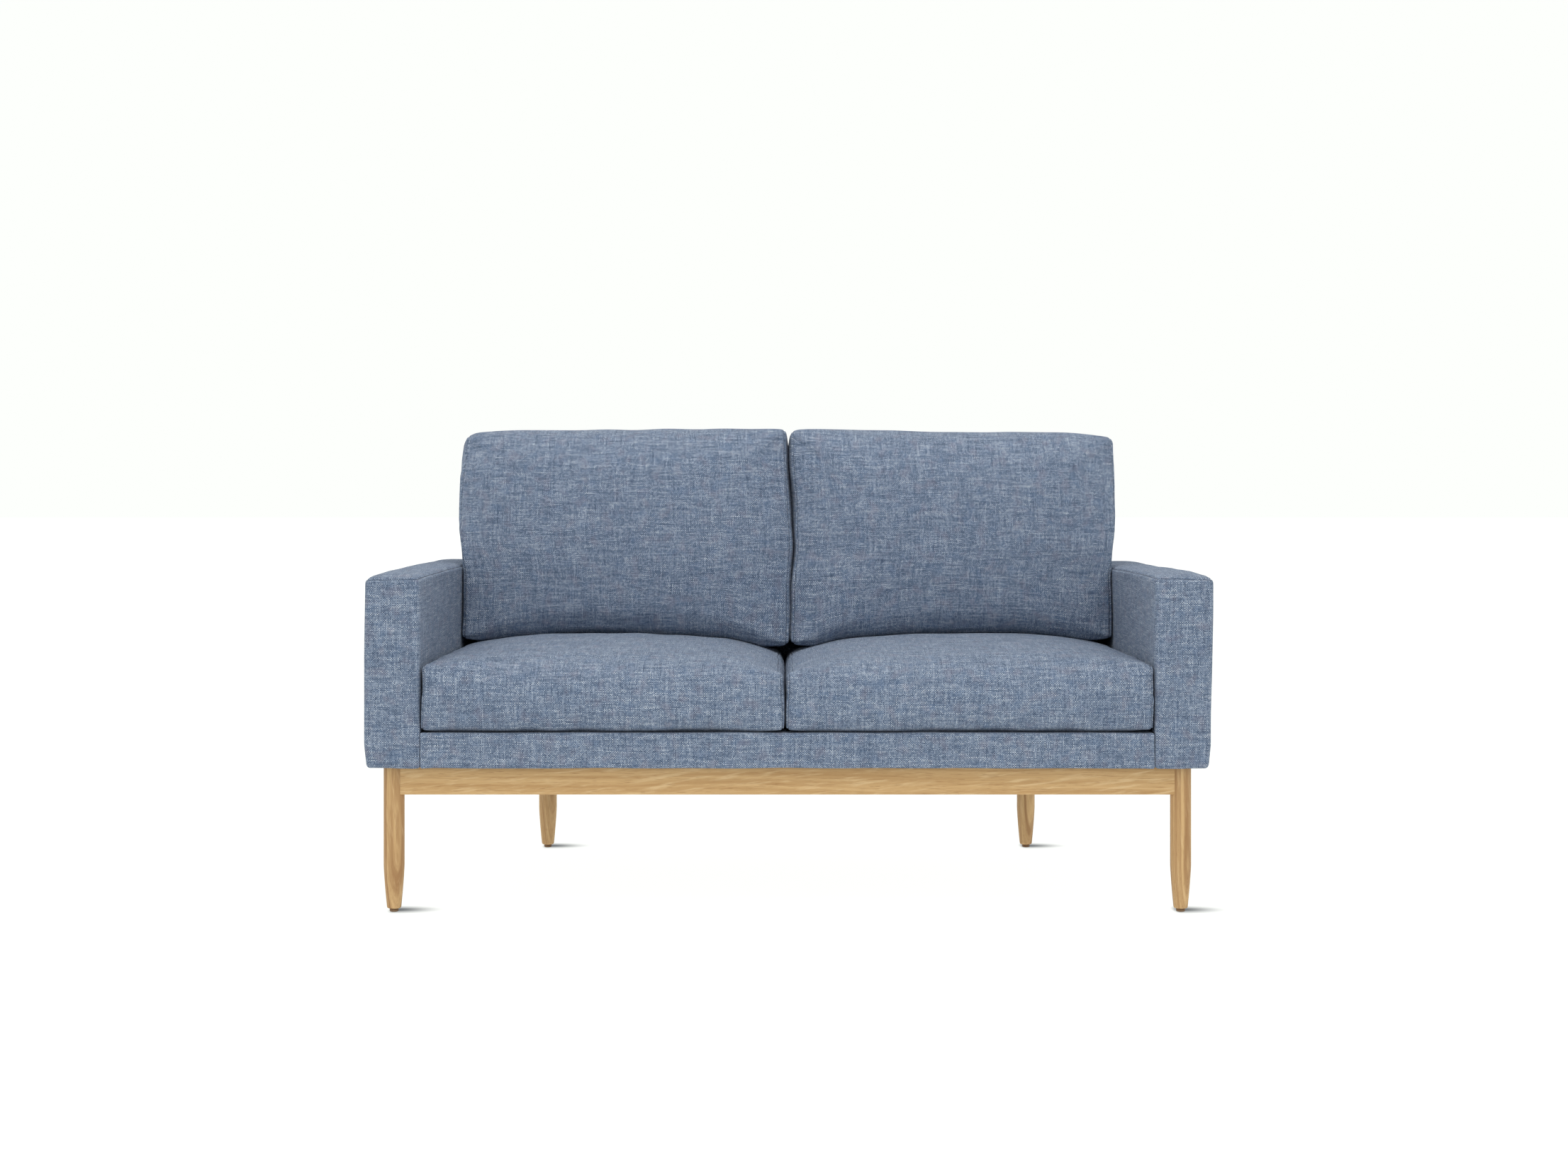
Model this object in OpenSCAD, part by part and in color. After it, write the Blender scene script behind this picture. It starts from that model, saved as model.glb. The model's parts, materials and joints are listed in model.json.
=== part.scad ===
// High back two-seat settee: turned oak base, upholstered body, four loose cushions.
// X runs to the right as seen from the front, Y runs back, Z runs up.
// The origin lies on the floor, in the middle of the overall width and depth.

/* [Overall] */
// Width over the arms
overall_w = 1500; // [1300:10:2000]
// Depth from the front of the seat cushions to the rear of the back
overall_d = 865; // [820:5:950]
// Height of the upholstered body's underside
base_top = 260; // [200:5:320]

/* [Arms] */
// Thickness of an arm
arm_t = 100; // [80:2:140]
// Height of the seam round an arm's top panel
arm_seam_z = 592.6; // [540:0.2:640]
// Rise of an arm's crowned top above that seam
arm_crown = 9; // [4:0.5:16]
// Radius of an arm's bottom edges
arm_bottom_r = 9; // [4:0.5:14]
// Radius of an arm's upright front edges
arm_front_r = 11; // [5:0.5:16]

/* [Back] */
// Height of the upholstered back's top edge
shell_top = 790; // [720:5:850]
// Thickness of the upholstered back, measured front to back
shell_t = 101; // [90:1:130]
// Lean of the back from upright, in degrees
lean = 8; // [4:0.5:12]
// Radius of the back's upper front and rear edges
shell_edge_r = 22; // [10:1:30]
// Radius of the back's upper side corners
shell_corner_r = 34; // [20:1:60]

/* [Seat deck] */
// Height of the deck that the seat cushions lie on
deck_top = 321.5; // [300:0.5:420]
// Depth of the padded border in front of the deck
border_d = 50; // [40:1:70]
// Radius of the border's front edges
border_r = 7; // [3:0.5:12]
// Thickness of every fabric layer with its lining
cover_t = 2; // [1:0.2:3]
// Thickness of the felt pad over the springs
deck_pad_t = 7; // [4:0.5:12]
// Thickness of the foam on the front of the back
back_pad_t = 34; // [20:1:40]

/* [Frame] */
// Thickness of the front and side seat rails
seat_rail_t = 25; // [20:1:32]
// Thickness of the rear seat rail
rear_seat_rail_t = 35; // [28:1:42]
// Height of the seat rails
seat_rail_h = 38; // [30:1:40]
// Width of the brace in the middle of the seat frame
brace_w = 40; // [30:1:60]
// Height of that brace, which the springs pass above
brace_h = 24; // [18:1:30]
// Thickness of the posts and of the back's frame
post_t = 30; // [24:1:36]
// Depth of an arm's posts, front to back
arm_post_d = 50; // [40:1:60]
// Thickness of an arm's top board
arm_board_t = 22; // [16:1:30]
// Height of the cross rails in the back
back_rail_h = 60; // [40:1:80]
// Thickness of the cross rails in the back
back_rail_t = 25; // [18:1:30]

/* [Springs] */
// Springs under each seat
springs_a_seat = 4; // [2:1:5]
// Thickness of the spring wire
wire_d = 3.6; // [3:0.1:4.2]
// Width of a zigzag spring
spring_w = 54; // [44:1:70]
// Pitch of its bars, front to back
spring_pitch = 34; // [28:1:40]
// Length of a spring clip's foot
clip_l = 16; // [12:1:22]
// Thickness of a clip's steel
clip_t = 1.2; // [0.8:0.1:1.6]
// Thickness of the tie wires across the springs
tie_d = 2.4; // [2:0.1:3]

/* [Oak base] */
// Height of the oak rails
base_rail_h = 50.3; // [40:0.5:60]
// Thickness of the oak rails
base_rail_t = 22; // [18:0.5:24]
// How far the face of an oak rail lies outside the axes of its legs
base_rail_out = 13.4; // [12:0.1:15]
// Diameter of a leg's straight upper part
leg_d = 37; // [34:0.5:46]
// Diameter of a leg at its foot
foot_d = 24.8; // [20:0.2:32]
// Height at which a leg begins to taper
taper_z = 86; // [60:1:140]
// Distance of the front leg axes from the body's sides
front_leg_inset = 49.5; // [40:0.5:60]
// Distance of the front leg axes behind the front of the arms
front_leg_setback = 35; // [28:0.5:45]
// Distance between the rear leg axes
rear_leg_span = 1000; // [800:10:1180]
// Distance of the rear leg axes in front of the rear of the back
rear_leg_setback = 119.4; // [80:0.2:180]
// Thickness of a rail's tenon
tenon_t = 8; // [6:0.5:10]
// Length of a rail's tenon in its leg
tenon_l = 11; // [8:0.5:12]
// Height of a rail's tenon
tenon_h = 34; // [20:1:38]
// Length of a corner block along each rail
block_l = 72; // [60:1:90]
// Height of a corner block
block_h = 38; // [30:1:40]
// Diameter of a bolt that holds a corner block to the body
bolt_d = 8; // [6:0.5:10]
// Height of a bolt's head
bolt_head_h = 5; // [4:0.5:7]
// Diameter of a washer
washer_d = 20; // [16:0.5:24]
// Thickness of a washer
washer_t = 1.6; // [1:0.1:2]
// Diameter of a glide under a leg
glide_d = 15.8; // [12:0.2:19]
// Height of a glide
glide_h = 6.3; // [4:0.1:9]
// Diameter of a glide's nail
glide_nail_d = 3; // [2:0.1:4]
// Length of a glide's nail
glide_nail_l = 20; // [14:1:28]

/* [Seat cushions] */
// How far the seat cushions stand out in front of the arms
seat_overhang = 5; // [0:0.5:15]
// Height of a seat cushion at its side edges
seat_edge_h = 106; // [90:1:120]
// How much lower its edge is at the split between the cushions
seat_split_drop = 7; // [0:0.5:12]
// Rise of its crown above its edges
seat_crown = 40; // [25:1:50]
// Rounding of the top front edge, front to back
seat_front_roll = 46; // [30:1:60]
// Rounding of the other top edges
seat_edge_roll = 20; // [12:1:30]
// How far the middle of each side is drawn in
cushion_draw = 3; // [1:0.5:6]

/* [Back cushions] */
// Height of a back cushion along its lean
back_cushion_h = 423; // [380:1:460]
// Thickness of a back cushion at its edges
back_cushion_t = 206; // [170:1:225]
// Rise of the crown on its front
back_crown = 24; // [12:1:34]
// How far its outer side swells out above the arm
back_swell = 15.5; // [8:0.5:22]
// Rounding of its upper front edge, which rolls back over the top
back_top_roll = 62; // [40:1:80]
// Rounding of its other edges
back_edge_roll = 22; // [14:1:32]
// Radius of its corners, seen from the front
back_corner_r = 26; // [16:1:40]

/* [Fits] */
// Gap between soft faces that only lean on each other
soft_gap = 0.4; // [0.3:0.1:1.5]
// Gap between a seat cushion's side and the arm
arm_gap = 1; // [0.6:0.1:3]
// Gap between neighbouring cushions
split_gap = 1; // [0.6:0.1:4]
// Gap round a rail's coped end
cope_gap = 0.1; // [0.05:0.05:0.3]
// Gap between layers that lie on each other in the leaning back and the base
layer_gap = 0.1; // [0.05:0.05:0.3]
// Clearance round a bolt or nail in its hole
bolt_gap = 0.2; // [0.1:0.05:0.5]

/* [Hidden] */

$fn = 48;
overrun = 5;
// Steps in a rounded edge of an outline
edge_steps = 5;
// Steps along a crowned top of an outline
crown_steps = 14;
half_turn = 180;
quarter_turn = 90;

// Body planes
front_y = -overall_d / 2;
rear_y = overall_d / 2;
arm_front_y = front_y + seat_overhang;
half_w = overall_w / 2;
arm_in_x = half_w - arm_t;
frame_z = base_top + cover_t;
frame_top = frame_z + seat_rail_h;
// Rear and front faces of the leaning back at a height z
function shell_rear_y(z) = rear_y - (shell_top - z) * tan(lean);
function shell_front_y(z) = shell_rear_y(z) - shell_t;
border_rear_y = arm_front_y + border_d;

// Seat frame
seat_front_rail_y = border_rear_y - cover_t - seat_rail_t;
side_rail_in_x = arm_in_x + cover_t + arm_bottom_r;
side_rail_out_x = side_rail_in_x + seat_rail_t;
rail_inset_share = 1 / 3;
seat_rear_rail_y = shell_front_y(base_top) + back_pad_t * rail_inset_share;
seat_rear_rail_rear_y = seat_rear_rail_y + rear_seat_rail_t;
seat_inner_d = seat_rear_rail_y - seat_front_rail_y - seat_rail_t;

// Zigzag springs: equal bars along an arc, joined by half rings
spring_bars = floor((seat_inner_d + seat_rail_t) / spring_pitch) + 1;
spring_l = (spring_bars - 1) * spring_pitch;
spring_mid_y = (seat_front_rail_y + seat_rail_t + seat_rear_rail_y) / 2;
// The springs arch up to the pad, on an arc of this radius
spring_end_z = frame_top + clip_t + wire_d / 2 + bolt_gap;
deck_pad_z = deck_top - cover_t - deck_pad_t;
spring_rise = deck_pad_z - soft_gap - wire_d / 2 - spring_end_z;
arch_r = (pow(spring_l / 2, 2) + pow(spring_rise, 2)) / (2 * spring_rise);
arch_step = 2 * asin(spring_pitch / (2 * arch_r));
function bar_angle(i) = (i - (spring_bars - 1) / 2) * arch_step;
function bar_y(i) = spring_mid_y + arch_r * sin(bar_angle(i));
function bar_z(i) = spring_end_z + spring_rise - arch_r * (1 - cos(bar_angle(i)));
seat_share = 1 / (springs_a_seat + 1);
spring_xs = [
    for (side = [-1, 1], i = [1:springs_a_seat])
        side * (brace_w / 2 + (arm_in_x - brace_w / 2) * i * seat_share)
];
tie_shares = [0.33, 0.67];

// Oak base
front_leg_x = half_w - front_leg_inset;
front_leg_y = arm_front_y + front_leg_setback;
rear_leg_x = rear_leg_span / 2;
rear_leg_y = rear_y - rear_leg_setback;
leg_depth_span = rear_leg_y - front_leg_y;
side_rail_run = norm([front_leg_x - rear_leg_x, leg_depth_span]);
// Rounding of a glide's lower edge
glide_edge_share = 1 / 3;
glide_edge_r = glide_h * glide_edge_share;
// Direction of the left side rail, from its front leg to its rear leg
side_rail_angle = atan2(leg_depth_span, front_leg_x - rear_leg_x);
base_rail_z = base_top - base_rail_h;
tenon_z = base_rail_z + (base_rail_h - tenon_h) / 2;
// A front or rear rail lies this far outside its leg axes, at its middle
rail_mid_out = base_rail_out - base_rail_t / 2;
// Bolts: their depth in the seat frame, their place along a block, the width of their heads
bolt_depth_share = 0.6;
bolt_place_share = 0.2;
bolt_head_share = 1.6;
bolt_into_frame = seat_rail_h * bolt_depth_share;
// The tapered leg: share of the taper's height, and the exponent of its curve
taper_steps = 14;
taper_power = 1.35;
foot_round = 1.4;
foot_z = glide_h + foot_round;

// Arms
arm_top_z = arm_seam_z + arm_crown;
// Fall of the crowned top at a share t of the half width; it falls by arm_crown at cap_share
cap_power = 4;
cap_root = 0.5;
cap_share = 0.8;
function cap_fall(t) = 1 - pow(1 - pow(abs(t), cap_power), cap_root);
arm_cap_h = arm_crown / cap_fall(cap_share);
arm_front_roll = 2 * arm_crown;
arm_post_x = side_rail_out_x;
board_width_share = 0.56;
arm_board_w = arm_t * board_width_share;
arm_board_top = arm_seam_z - 3 * cover_t - arm_crown;
arm_front_post_y = front_leg_y - arm_post_d / 2;
arm_rear_post_y = shell_rear_y(frame_z) - cover_t - arm_post_d - cope_gap;

// Back frame: its layers lie one behind another from the front of the back
back_post_front = cover_t + back_pad_t + cover_t;
back_panel_t = cover_t / cos(lean) + layer_gap;
back_post_d = shell_t - back_post_front - back_panel_t - layer_gap;
back_frame_top = shell_top - max(shell_corner_r, shell_edge_r);
deck_rear_y = shell_front_y(deck_pad_z) + back_post_front - layer_gap;
back_post_x = arm_in_x - cover_t - post_t;
webbing_w = 50;
webbing_count = 5;
webbing_first_z = deck_top + webbing_w;
webbing_top_share = 1.6;
webbing_last_z = shell_top - webbing_top_share * webbing_w;

// Seat cushions: the crown falls from its middle to the edges by this power
seat_x0 = split_gap / 2;
seat_x1 = arm_in_x - arm_gap;
seat_z0 = deck_top + soft_gap;
seat_rear_y = shell_front_y(deck_top) - 3 * soft_gap - cushion_draw / 2;
crown_power = 2.2;
seat_bottom_roll = 12;
seat_corner_r = 24;

// Back cushions
back_x0 = split_gap / 2;
swell_tuck_share = 0.6;
back_x1 = arm_in_x - arm_gap - swell_tuck_share * back_swell;
back_gap_y = soft_gap / cos(lean);
// Where the back cushion's rear lower edge would stand, at a height z
function cushion_rear_y(z) = shell_front_y(z) - back_gap_y;
// Outward swell of the outer side, as shares, from the bottom to the top
swell_shares = [[0, 0], [0.36, 0.58], [0.5, 0.85], [0.64, 1], [0.8, 0.82], [1, 0.4]];

// Outlines

// An arc of points round a centre
function arc(c, r, a0, a1, steps = edge_steps) =
    [for (i = [0:steps]) let (a = a0 + (a1 - a0) * i / steps) c + r * [cos(a), sin(a)]];

// Extrudes an outline drawn in Y and Z along X
module along_x(x0, x1) {
    translate([x0, 0, 0]) rotate([90, 0, 90]) linear_extrude(x1 - x0) children();
}

// Extrudes an outline drawn in X and Z along Y
module along_y(y0, y1) {
    translate([0, y1, 0]) rotate([90, 0, 0]) linear_extrude(y1 - y0) children();
}

// A box between two corners
module block(lo, hi) {
    translate(lo) cube(hi - lo);
}

module mirrored(left) {
    mirror([left ? 1 : 0, 0, 0]) children();
}

// The oak base

function leg_r(z) =
    z >= taper_z ? leg_d / 2
    : foot_d / 2 + (leg_d - foot_d) / 2
        * (1 - pow(1 - max(z - glide_h, 0) / (taper_z - glide_h), taper_power));

// A turned leg with a mortise for each rail, given as [angle, sideways shift]
module leg(x, y, rails) {
    color("burlywood") translate([x, y, 0]) difference() {
        rotate_extrude() polygon(concat(
            [[0, glide_h], [leg_r(glide_h) - foot_round, glide_h]],
            [for (i = [0:taper_steps])
                let (z = foot_z + (taper_z - foot_z) * i / taper_steps)
                [leg_r(z), z]],
            [[leg_d / 2, base_top], [0, base_top]]));
        for (rail = rails)
            rotate([0, 0, rail[0]])
                translate([leg_d / 2 - tenon_l, rail[1] - tenon_t / 2, tenon_z])
                    cube([tenon_l + overrun, tenon_t, tenon_h]);
        translate([0, 0, glide_h - overrun])
            cylinder(d = glide_nail_d + 2 * bolt_gap, h = glide_nail_l + overrun + bolt_gap);
    }
}

// An oak rail from the leg axis at its origin to the next, its middle shifted sideways
module oak_rail(run, shift) {
    color("burlywood") {
        difference() {
            translate([0, shift - base_rail_t / 2, base_rail_z]) cube([run, base_rail_t, base_rail_h]);
            for (x = [0, run])
                translate([x, 0, base_rail_z - overrun])
                    cylinder(d = leg_d + 2 * cope_gap, h = base_rail_h + 2 * overrun);
        }
        for (x = [leg_d / 2 - tenon_l, run - leg_d / 2 - tenon_t])
            translate([x, shift - tenon_t / 2, tenon_z]) cube([tenon_l + tenon_t, tenon_t, tenon_h]);
    }
}

module base_front_rail() {
    translate([-front_leg_x, front_leg_y, 0]) oak_rail(2 * front_leg_x, -rail_mid_out);
}

module base_rear_rail() {
    translate([-rear_leg_x, rear_leg_y, 0]) oak_rail(2 * rear_leg_x, rail_mid_out);
}

module base_left_rail() {
    translate([-front_leg_x, front_leg_y, 0]) rotate([0, 0, side_rail_angle]) oak_rail(side_rail_run, 0);
}

module base_right_rail() {
    mirror([1, 0, 0]) base_left_rail();
}

module front_left_leg() {
    leg(-front_leg_x, front_leg_y, [[0, -rail_mid_out], [side_rail_angle, 0]]);
}

module front_right_leg() {
    mirror([1, 0, 0]) front_left_leg();
}

module rear_left_leg() {
    leg(-rear_leg_x, rear_leg_y, [[0, rail_mid_out], [side_rail_angle + half_turn, 0]]);
}

module rear_right_leg() {
    mirror([1, 0, 0]) rear_left_leg();
}

// A domed nail-on glide
module glide(x, y) {
    color("saddlebrown") translate([x, y, 0]) {
        rotate_extrude() polygon(concat(
            [[0, 0]],
            arc([glide_d / 2 - glide_edge_r, glide_edge_r], glide_edge_r, 270, 360),
            [[glide_d / 2, glide_h], [0, glide_h]]));
        cylinder(d = glide_nail_d, h = glide_h + glide_nail_l - bolt_gap);
    }
}

module front_left_glide() { glide(-front_leg_x, front_leg_y); }
module front_right_glide() { glide(front_leg_x, front_leg_y); }
module rear_left_glide() { glide(-rear_leg_x, rear_leg_y); }
module rear_right_glide() { glide(rear_leg_x, rear_leg_y); }

// Inner corner of the left rails at a leg: end is -1 at the front leg, 1 at the rear one
function corner_at(end) =
    let (leg = end < 0 ? [-front_leg_x, front_leg_y] : [-rear_leg_x, rear_leg_y],
        along = [cos(side_rail_angle), sin(side_rail_angle)],
        inward = [along.y, -along.x],
        face_y = leg.y - end * (base_rail_t / 2 - rail_mid_out + layer_gap),
        on_side = leg + inward * (base_rail_t / 2 + layer_gap))
    on_side + along * (face_y - on_side.y) / along.y;

// Bolt places at the two left corners
function bolt_at(end) =
    let (c = corner_at(end), along = [cos(side_rail_angle), sin(side_rail_angle)])
    c + ([1, 0] - end * along) * block_l * bolt_place_share;

module corner_block(end) {
    c = corner_at(end);
    leg = end < 0 ? [-front_leg_x, front_leg_y] : [-rear_leg_x, rear_leg_y];
    along = [cos(side_rail_angle), sin(side_rail_angle)];
    difference() {
        translate([0, 0, base_top - block_h])
            linear_extrude(block_h)
                polygon([c, c + [block_l, 0], c - end * along * block_l]);
        translate([leg.x, leg.y, base_top - block_h - overrun])
            cylinder(d = leg_d + 2 * cope_gap, h = block_h + 2 * overrun);
        translate([bolt_at(end).x, bolt_at(end).y, base_top - block_h - overrun])
            cylinder(d = bolt_d + 2 * bolt_gap, h = block_h + 2 * overrun);
    }
}

module corner_blocks() {
    color("tan") for (left = [true, false], end = [-1, 1])
        mirrored(!left) corner_block(end);
}

// Puts a copy of its child at each of the four bolts
module at_bolts(z) {
    for (left = [true, false], end = [-1, 1])
        mirrored(!left) translate([bolt_at(end).x, bolt_at(end).y, z]) children();
}

module base_bolts() {
    head_z = base_top - block_h - washer_t - bolt_head_h;
    color("silver") at_bolts(head_z) {
        cylinder(d = bolt_d * bolt_head_share, h = bolt_head_h, $fn = 6);
        cylinder(d = bolt_d, h = frame_z + bolt_into_frame - head_z);
    }
}

module base_washers() {
    color("silver") at_bolts(base_top - block_h - washer_t) difference() {
        cylinder(d = washer_d, h = washer_t);
        translate([0, 0, -overrun]) cylinder(d = bolt_d + 2 * bolt_gap, h = washer_t + 2 * overrun);
    }
}

// Holes for the bolts through whatever lies above the corner blocks
module bolt_holes() {
    at_bolts(base_top - overrun)
        cylinder(d = bolt_d + 2 * bolt_gap, h = cover_t + bolt_into_frame + overrun + bolt_gap);
}

// The seat frame and the deck

module seat_front_rail_form(grow = 0) {
    block([-side_rail_in_x, seat_front_rail_y - grow, frame_z - grow],
        [side_rail_in_x, seat_front_rail_y + seat_rail_t + grow, frame_top + grow]);
}

module seat_rear_rail_form(grow = 0) {
    block([-side_rail_in_x, seat_rear_rail_y - grow, frame_z - grow],
        [side_rail_in_x, seat_rear_rail_rear_y + grow, frame_top + grow]);
}

// The right side rail of the seat frame, inside the arm
module seat_side_rail_form() {
    block([side_rail_in_x, arm_front_post_y, frame_z],
        [side_rail_out_x, arm_rear_post_y + arm_post_d, frame_top]);
}

// A rail of the seat frame with the holes that the bolts make in it
module bored_rail() {
    color("wheat") difference() {
        children();
        bolt_holes();
    }
}

module seat_front_rail() { bored_rail() seat_front_rail_form(); }
module seat_rear_rail() { bored_rail() seat_rear_rail_form(); }
module seat_right_rail() { bored_rail() seat_side_rail_form(); }
module seat_left_rail() { mirror([1, 0, 0]) seat_right_rail(); }

module seat_centre_brace() {
    color("wheat")
        block([-brace_w / 2, seat_front_rail_y + seat_rail_t, frame_z],
            [brace_w / 2, seat_rear_rail_y, frame_z + brace_h]);
}

// The spring's centre line as rings, each [place, direction, up]: a straight bar at each
// step of the arc, and a half ring to the next bar on alternate sides
ring_angles = [0, 60, 120, 180];
wire_sides = 5;
function bar_at(i) = [0, bar_y(i), bar_z(i)];
spring_rings = concat(
    [[bar_at(0) - [spring_w / 2, 0, 0], [1, 0, 0], [0, 0, 1]]],
    [for (i = [0:spring_bars - 2], a = ring_angles)
        let (turn = i % 2 == 0 ? 1 : -1,
            chord = bar_at(i + 1) - bar_at(i),
            along = chord / norm(chord),
            out = [turn, 0, 0],
            centre = bar_at(i) + chord / 2 + out * (spring_w - spring_pitch) / 2)
        [centre + spring_pitch / 2 * (sin(a) * out - cos(a) * along),
            sin(a) * along + cos(a) * out, [0, -along.z, along.y]]],
    [let (turn = (spring_bars - 1) % 2 == 0 ? 1 : -1)
        [bar_at(spring_bars - 1) + [turn * spring_w / 2, 0, 0], [turn, 0, 0], [0, 0, 1]]]);

module zigzag_spring() {
    n = wire_sides;
    last = len(spring_rings) - 1;
    points = [for (ring = spring_rings, k = [0:n - 1])
        let (a = 360 * k / n, side = cross(ring[1], ring[2]))
        ring[0] + wire_d / 2 * (cos(a) * side + sin(a) * ring[2])];
    faces = concat(
        [[for (k = [0:n - 1]) k], [for (k = [0:n - 1]) (last + 1) * n - 1 - k]],
        [for (i = [0:last - 1], k = [0:n - 1]) [i * n + k, (i + 1) * n + k, i * n + (k + 1) % n]],
        [for (i = [0:last - 1], k = [0:n - 1])
            [i * n + (k + 1) % n, (i + 1) * n + k, (i + 1) * n + (k + 1) % n]]);
    polyhedron(points, faces);
}

module zigzag_springs() {
    color("gray") for (x = spring_xs) translate([x, 0, 0]) zigzag_spring();
}

// A rolled clip round a spring's end bar, drawn in Y and Z about the bar's middle
module clip_profile() {
    bore_r = wire_d / 2 + bolt_gap;
    difference() {
        union() {
            circle(r = bore_r + clip_t, $fn = 32);
            translate([0, -bore_r - clip_t]) square([clip_l, clip_t]);
        }
        circle(r = bore_r, $fn = 32);
        square(2 * bore_r + clip_t);
    }
}

module spring_clip(i, flip) {
    translate([-(spring_w - spring_pitch) / 2 + clip_t, bar_y(i), spring_end_z])
        mirror([0, flip ? 1 : 0, 0])
            rotate([90, 0, 90]) linear_extrude(spring_w - spring_pitch - 2 * clip_t) clip_profile();
}

module spring_clips() {
    color("dimgray") for (x = spring_xs) translate([x, 0, 0]) {
        spring_clip(0, false);
        spring_clip(spring_bars - 1, true);
    }
}

// Straight wires that lie across the springs and keep their spacing
module spring_tie_wires() {
    color("dimgray") for (share = tie_shares) {
        i = round((spring_bars - 1) * share);
        translate([spring_xs[springs_a_seat - 1] - spring_w, bar_y(i),
            bar_z(i) - (wire_d + tie_d) / 2 - cope_gap])
            rotate([0, 90, 0])
                cylinder(d = tie_d, h = 2 * (spring_xs[2 * springs_a_seat - 1] + spring_w), $fn = 24);
    }
}

module deck_pad() {
    color("gainsboro")
        block([-arm_in_x, border_rear_y - cover_t - seat_rail_t, deck_pad_z],
            [arm_in_x, deck_rear_y, deck_top - cover_t]);
}

module deck_cover() {
    color("slategray")
        block([-arm_in_x, border_rear_y, deck_top - cover_t],
            [arm_in_x, deck_rear_y, deck_top]);
}

module dust_cover() {
    color("dimgray") difference() {
        block([-arm_in_x, border_rear_y, base_top],
            [arm_in_x, shell_rear_y(base_top) - 2 * cover_t, frame_z]);
        bolt_holes();
    }
}

module front_border_padding() {
    color("gainsboro") along_x(-arm_in_x, arm_in_x) polygon(concat(
        arc([arm_front_y + border_r, frame_z + border_r - cover_t], border_r - cover_t, 180, 270),
        [[seat_front_rail_y, frame_z], [seat_front_rail_y, deck_top - cover_t]],
        arc([arm_front_y + border_r, deck_top - border_r], border_r - cover_t, 90, 180)));
}

// The border's cloth goes from under the rail, up the front and back to the deck
module front_border_cover() {
    color("lightsteelblue") along_x(-arm_in_x, arm_in_x) difference() {
        polygon(concat(
            arc([arm_front_y + border_r, base_top + border_r], border_r, 180, 270),
            [[border_rear_y, base_top], [border_rear_y, deck_top]],
            arc([arm_front_y + border_r, deck_top - border_r], border_r, 90, 180)));
        polygon(concat(
            arc([arm_front_y + border_r, base_top + border_r], border_r - cover_t, 180, 270),
            [[border_rear_y + overrun, frame_z], [border_rear_y + overrun, deck_top - cover_t]],
            arc([arm_front_y + border_r, deck_top - border_r], border_r - cover_t, 90, 180)));
    }
}

// The arms, drawn on the right and mirrored for the left

// Section of an arm in X and Z, drawn in by inset
function arm_section(inset) =
    let (mid = half_w - arm_t / 2, hw = arm_t / 2 - inset, r = arm_bottom_r - inset / 2)
    concat(
        arc([mid - hw + r, base_top + inset + r], r, 180, 270),
        arc([mid + hw - r, base_top + inset + r], r, 270, 360),
        [for (i = [0:crown_steps])
            let (t = cos(half_turn * i / crown_steps))
            [mid + hw * t, arm_top_z - arm_cap_h * cap_fall(t) - inset]]);

// Side view of an arm in Y and Z: its rear edge leans with the back
function arm_side(inset) =
    let (y0 = arm_front_y + inset, top = arm_top_z - inset)
    concat(
        [[y0, base_top - overrun]],
        [for (i = [0:edge_steps])
            let (a = quarter_turn * i / edge_steps)
            [y0 + arm_front_roll * (1 - cos(a)), top - arm_crown * (1 - sin(a))]],
        [[shell_rear_y(top + overrun) - inset, top],
        [shell_rear_y(base_top - overrun) - inset, base_top - overrun]]);

// The arm's outer form, or with an inset the space that its cover leaves inside
module arm_form(inset) {
    intersection() {
        along_y(arm_front_y + inset, rear_y) polygon(arm_section(inset));
        along_x(arm_in_x - overrun, half_w + overrun) polygon(arm_side(inset));
        translate([0, 0, base_top - overrun])
            linear_extrude(arm_top_z - base_top + 2 * overrun)
                polygon(concat(
                    arc([arm_in_x + arm_front_r, arm_front_y + arm_front_r], arm_front_r - inset, 180, 270),
                    arc([half_w - arm_front_r, arm_front_y + arm_front_r], arm_front_r - inset, 270, 360),
                    [[half_w - inset, rear_y], [arm_in_x + inset, rear_y]]));
    }
}

module arm_skin() {
    difference() {
        arm_form(0);
        arm_form(cover_t);
        seat_front_rail_form(cope_gap);
        seat_rear_rail_form(cope_gap);
        bolt_holes();
    }
}

// Everything above the seam that runs round the arm's top
module above_seam() {
    block([arm_in_x - overrun, front_y - overrun, arm_seam_z - arm_crown],
        [half_w + overrun, rear_y + overrun, arm_top_z + overrun]);
}

module arm_cover(left) {
    color("lightsteelblue") mirrored(left) difference() {
        arm_skin();
        above_seam();
    }
}

module arm_top_panel(left) {
    color("steelblue") mirrored(left) intersection() {
        arm_skin();
        above_seam();
    }
}

module arm_front_post_form() {
    block([arm_post_x, arm_front_post_y, frame_z],
        [arm_post_x + post_t, arm_front_post_y + arm_post_d, arm_board_top - arm_board_t]);
}

module arm_rear_post_form() {
    block([arm_post_x, arm_rear_post_y, frame_z],
        [arm_post_x + post_t, arm_rear_post_y + arm_post_d, arm_board_top - arm_board_t]);
}

module arm_board_form() {
    mid = half_w - arm_t / 2;
    block([mid - arm_board_w / 2, arm_front_post_y, arm_board_top - arm_board_t],
        [mid + arm_board_w / 2, arm_rear_post_y + arm_post_d, arm_board_top]);
}

module arm_front_post(left) { color("wheat") mirrored(left) arm_front_post_form(); }
module arm_rear_post(left) { color("wheat") mirrored(left) arm_rear_post_form(); }
module arm_board(left) { color("wheat") mirrored(left) arm_board_form(); }

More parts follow.
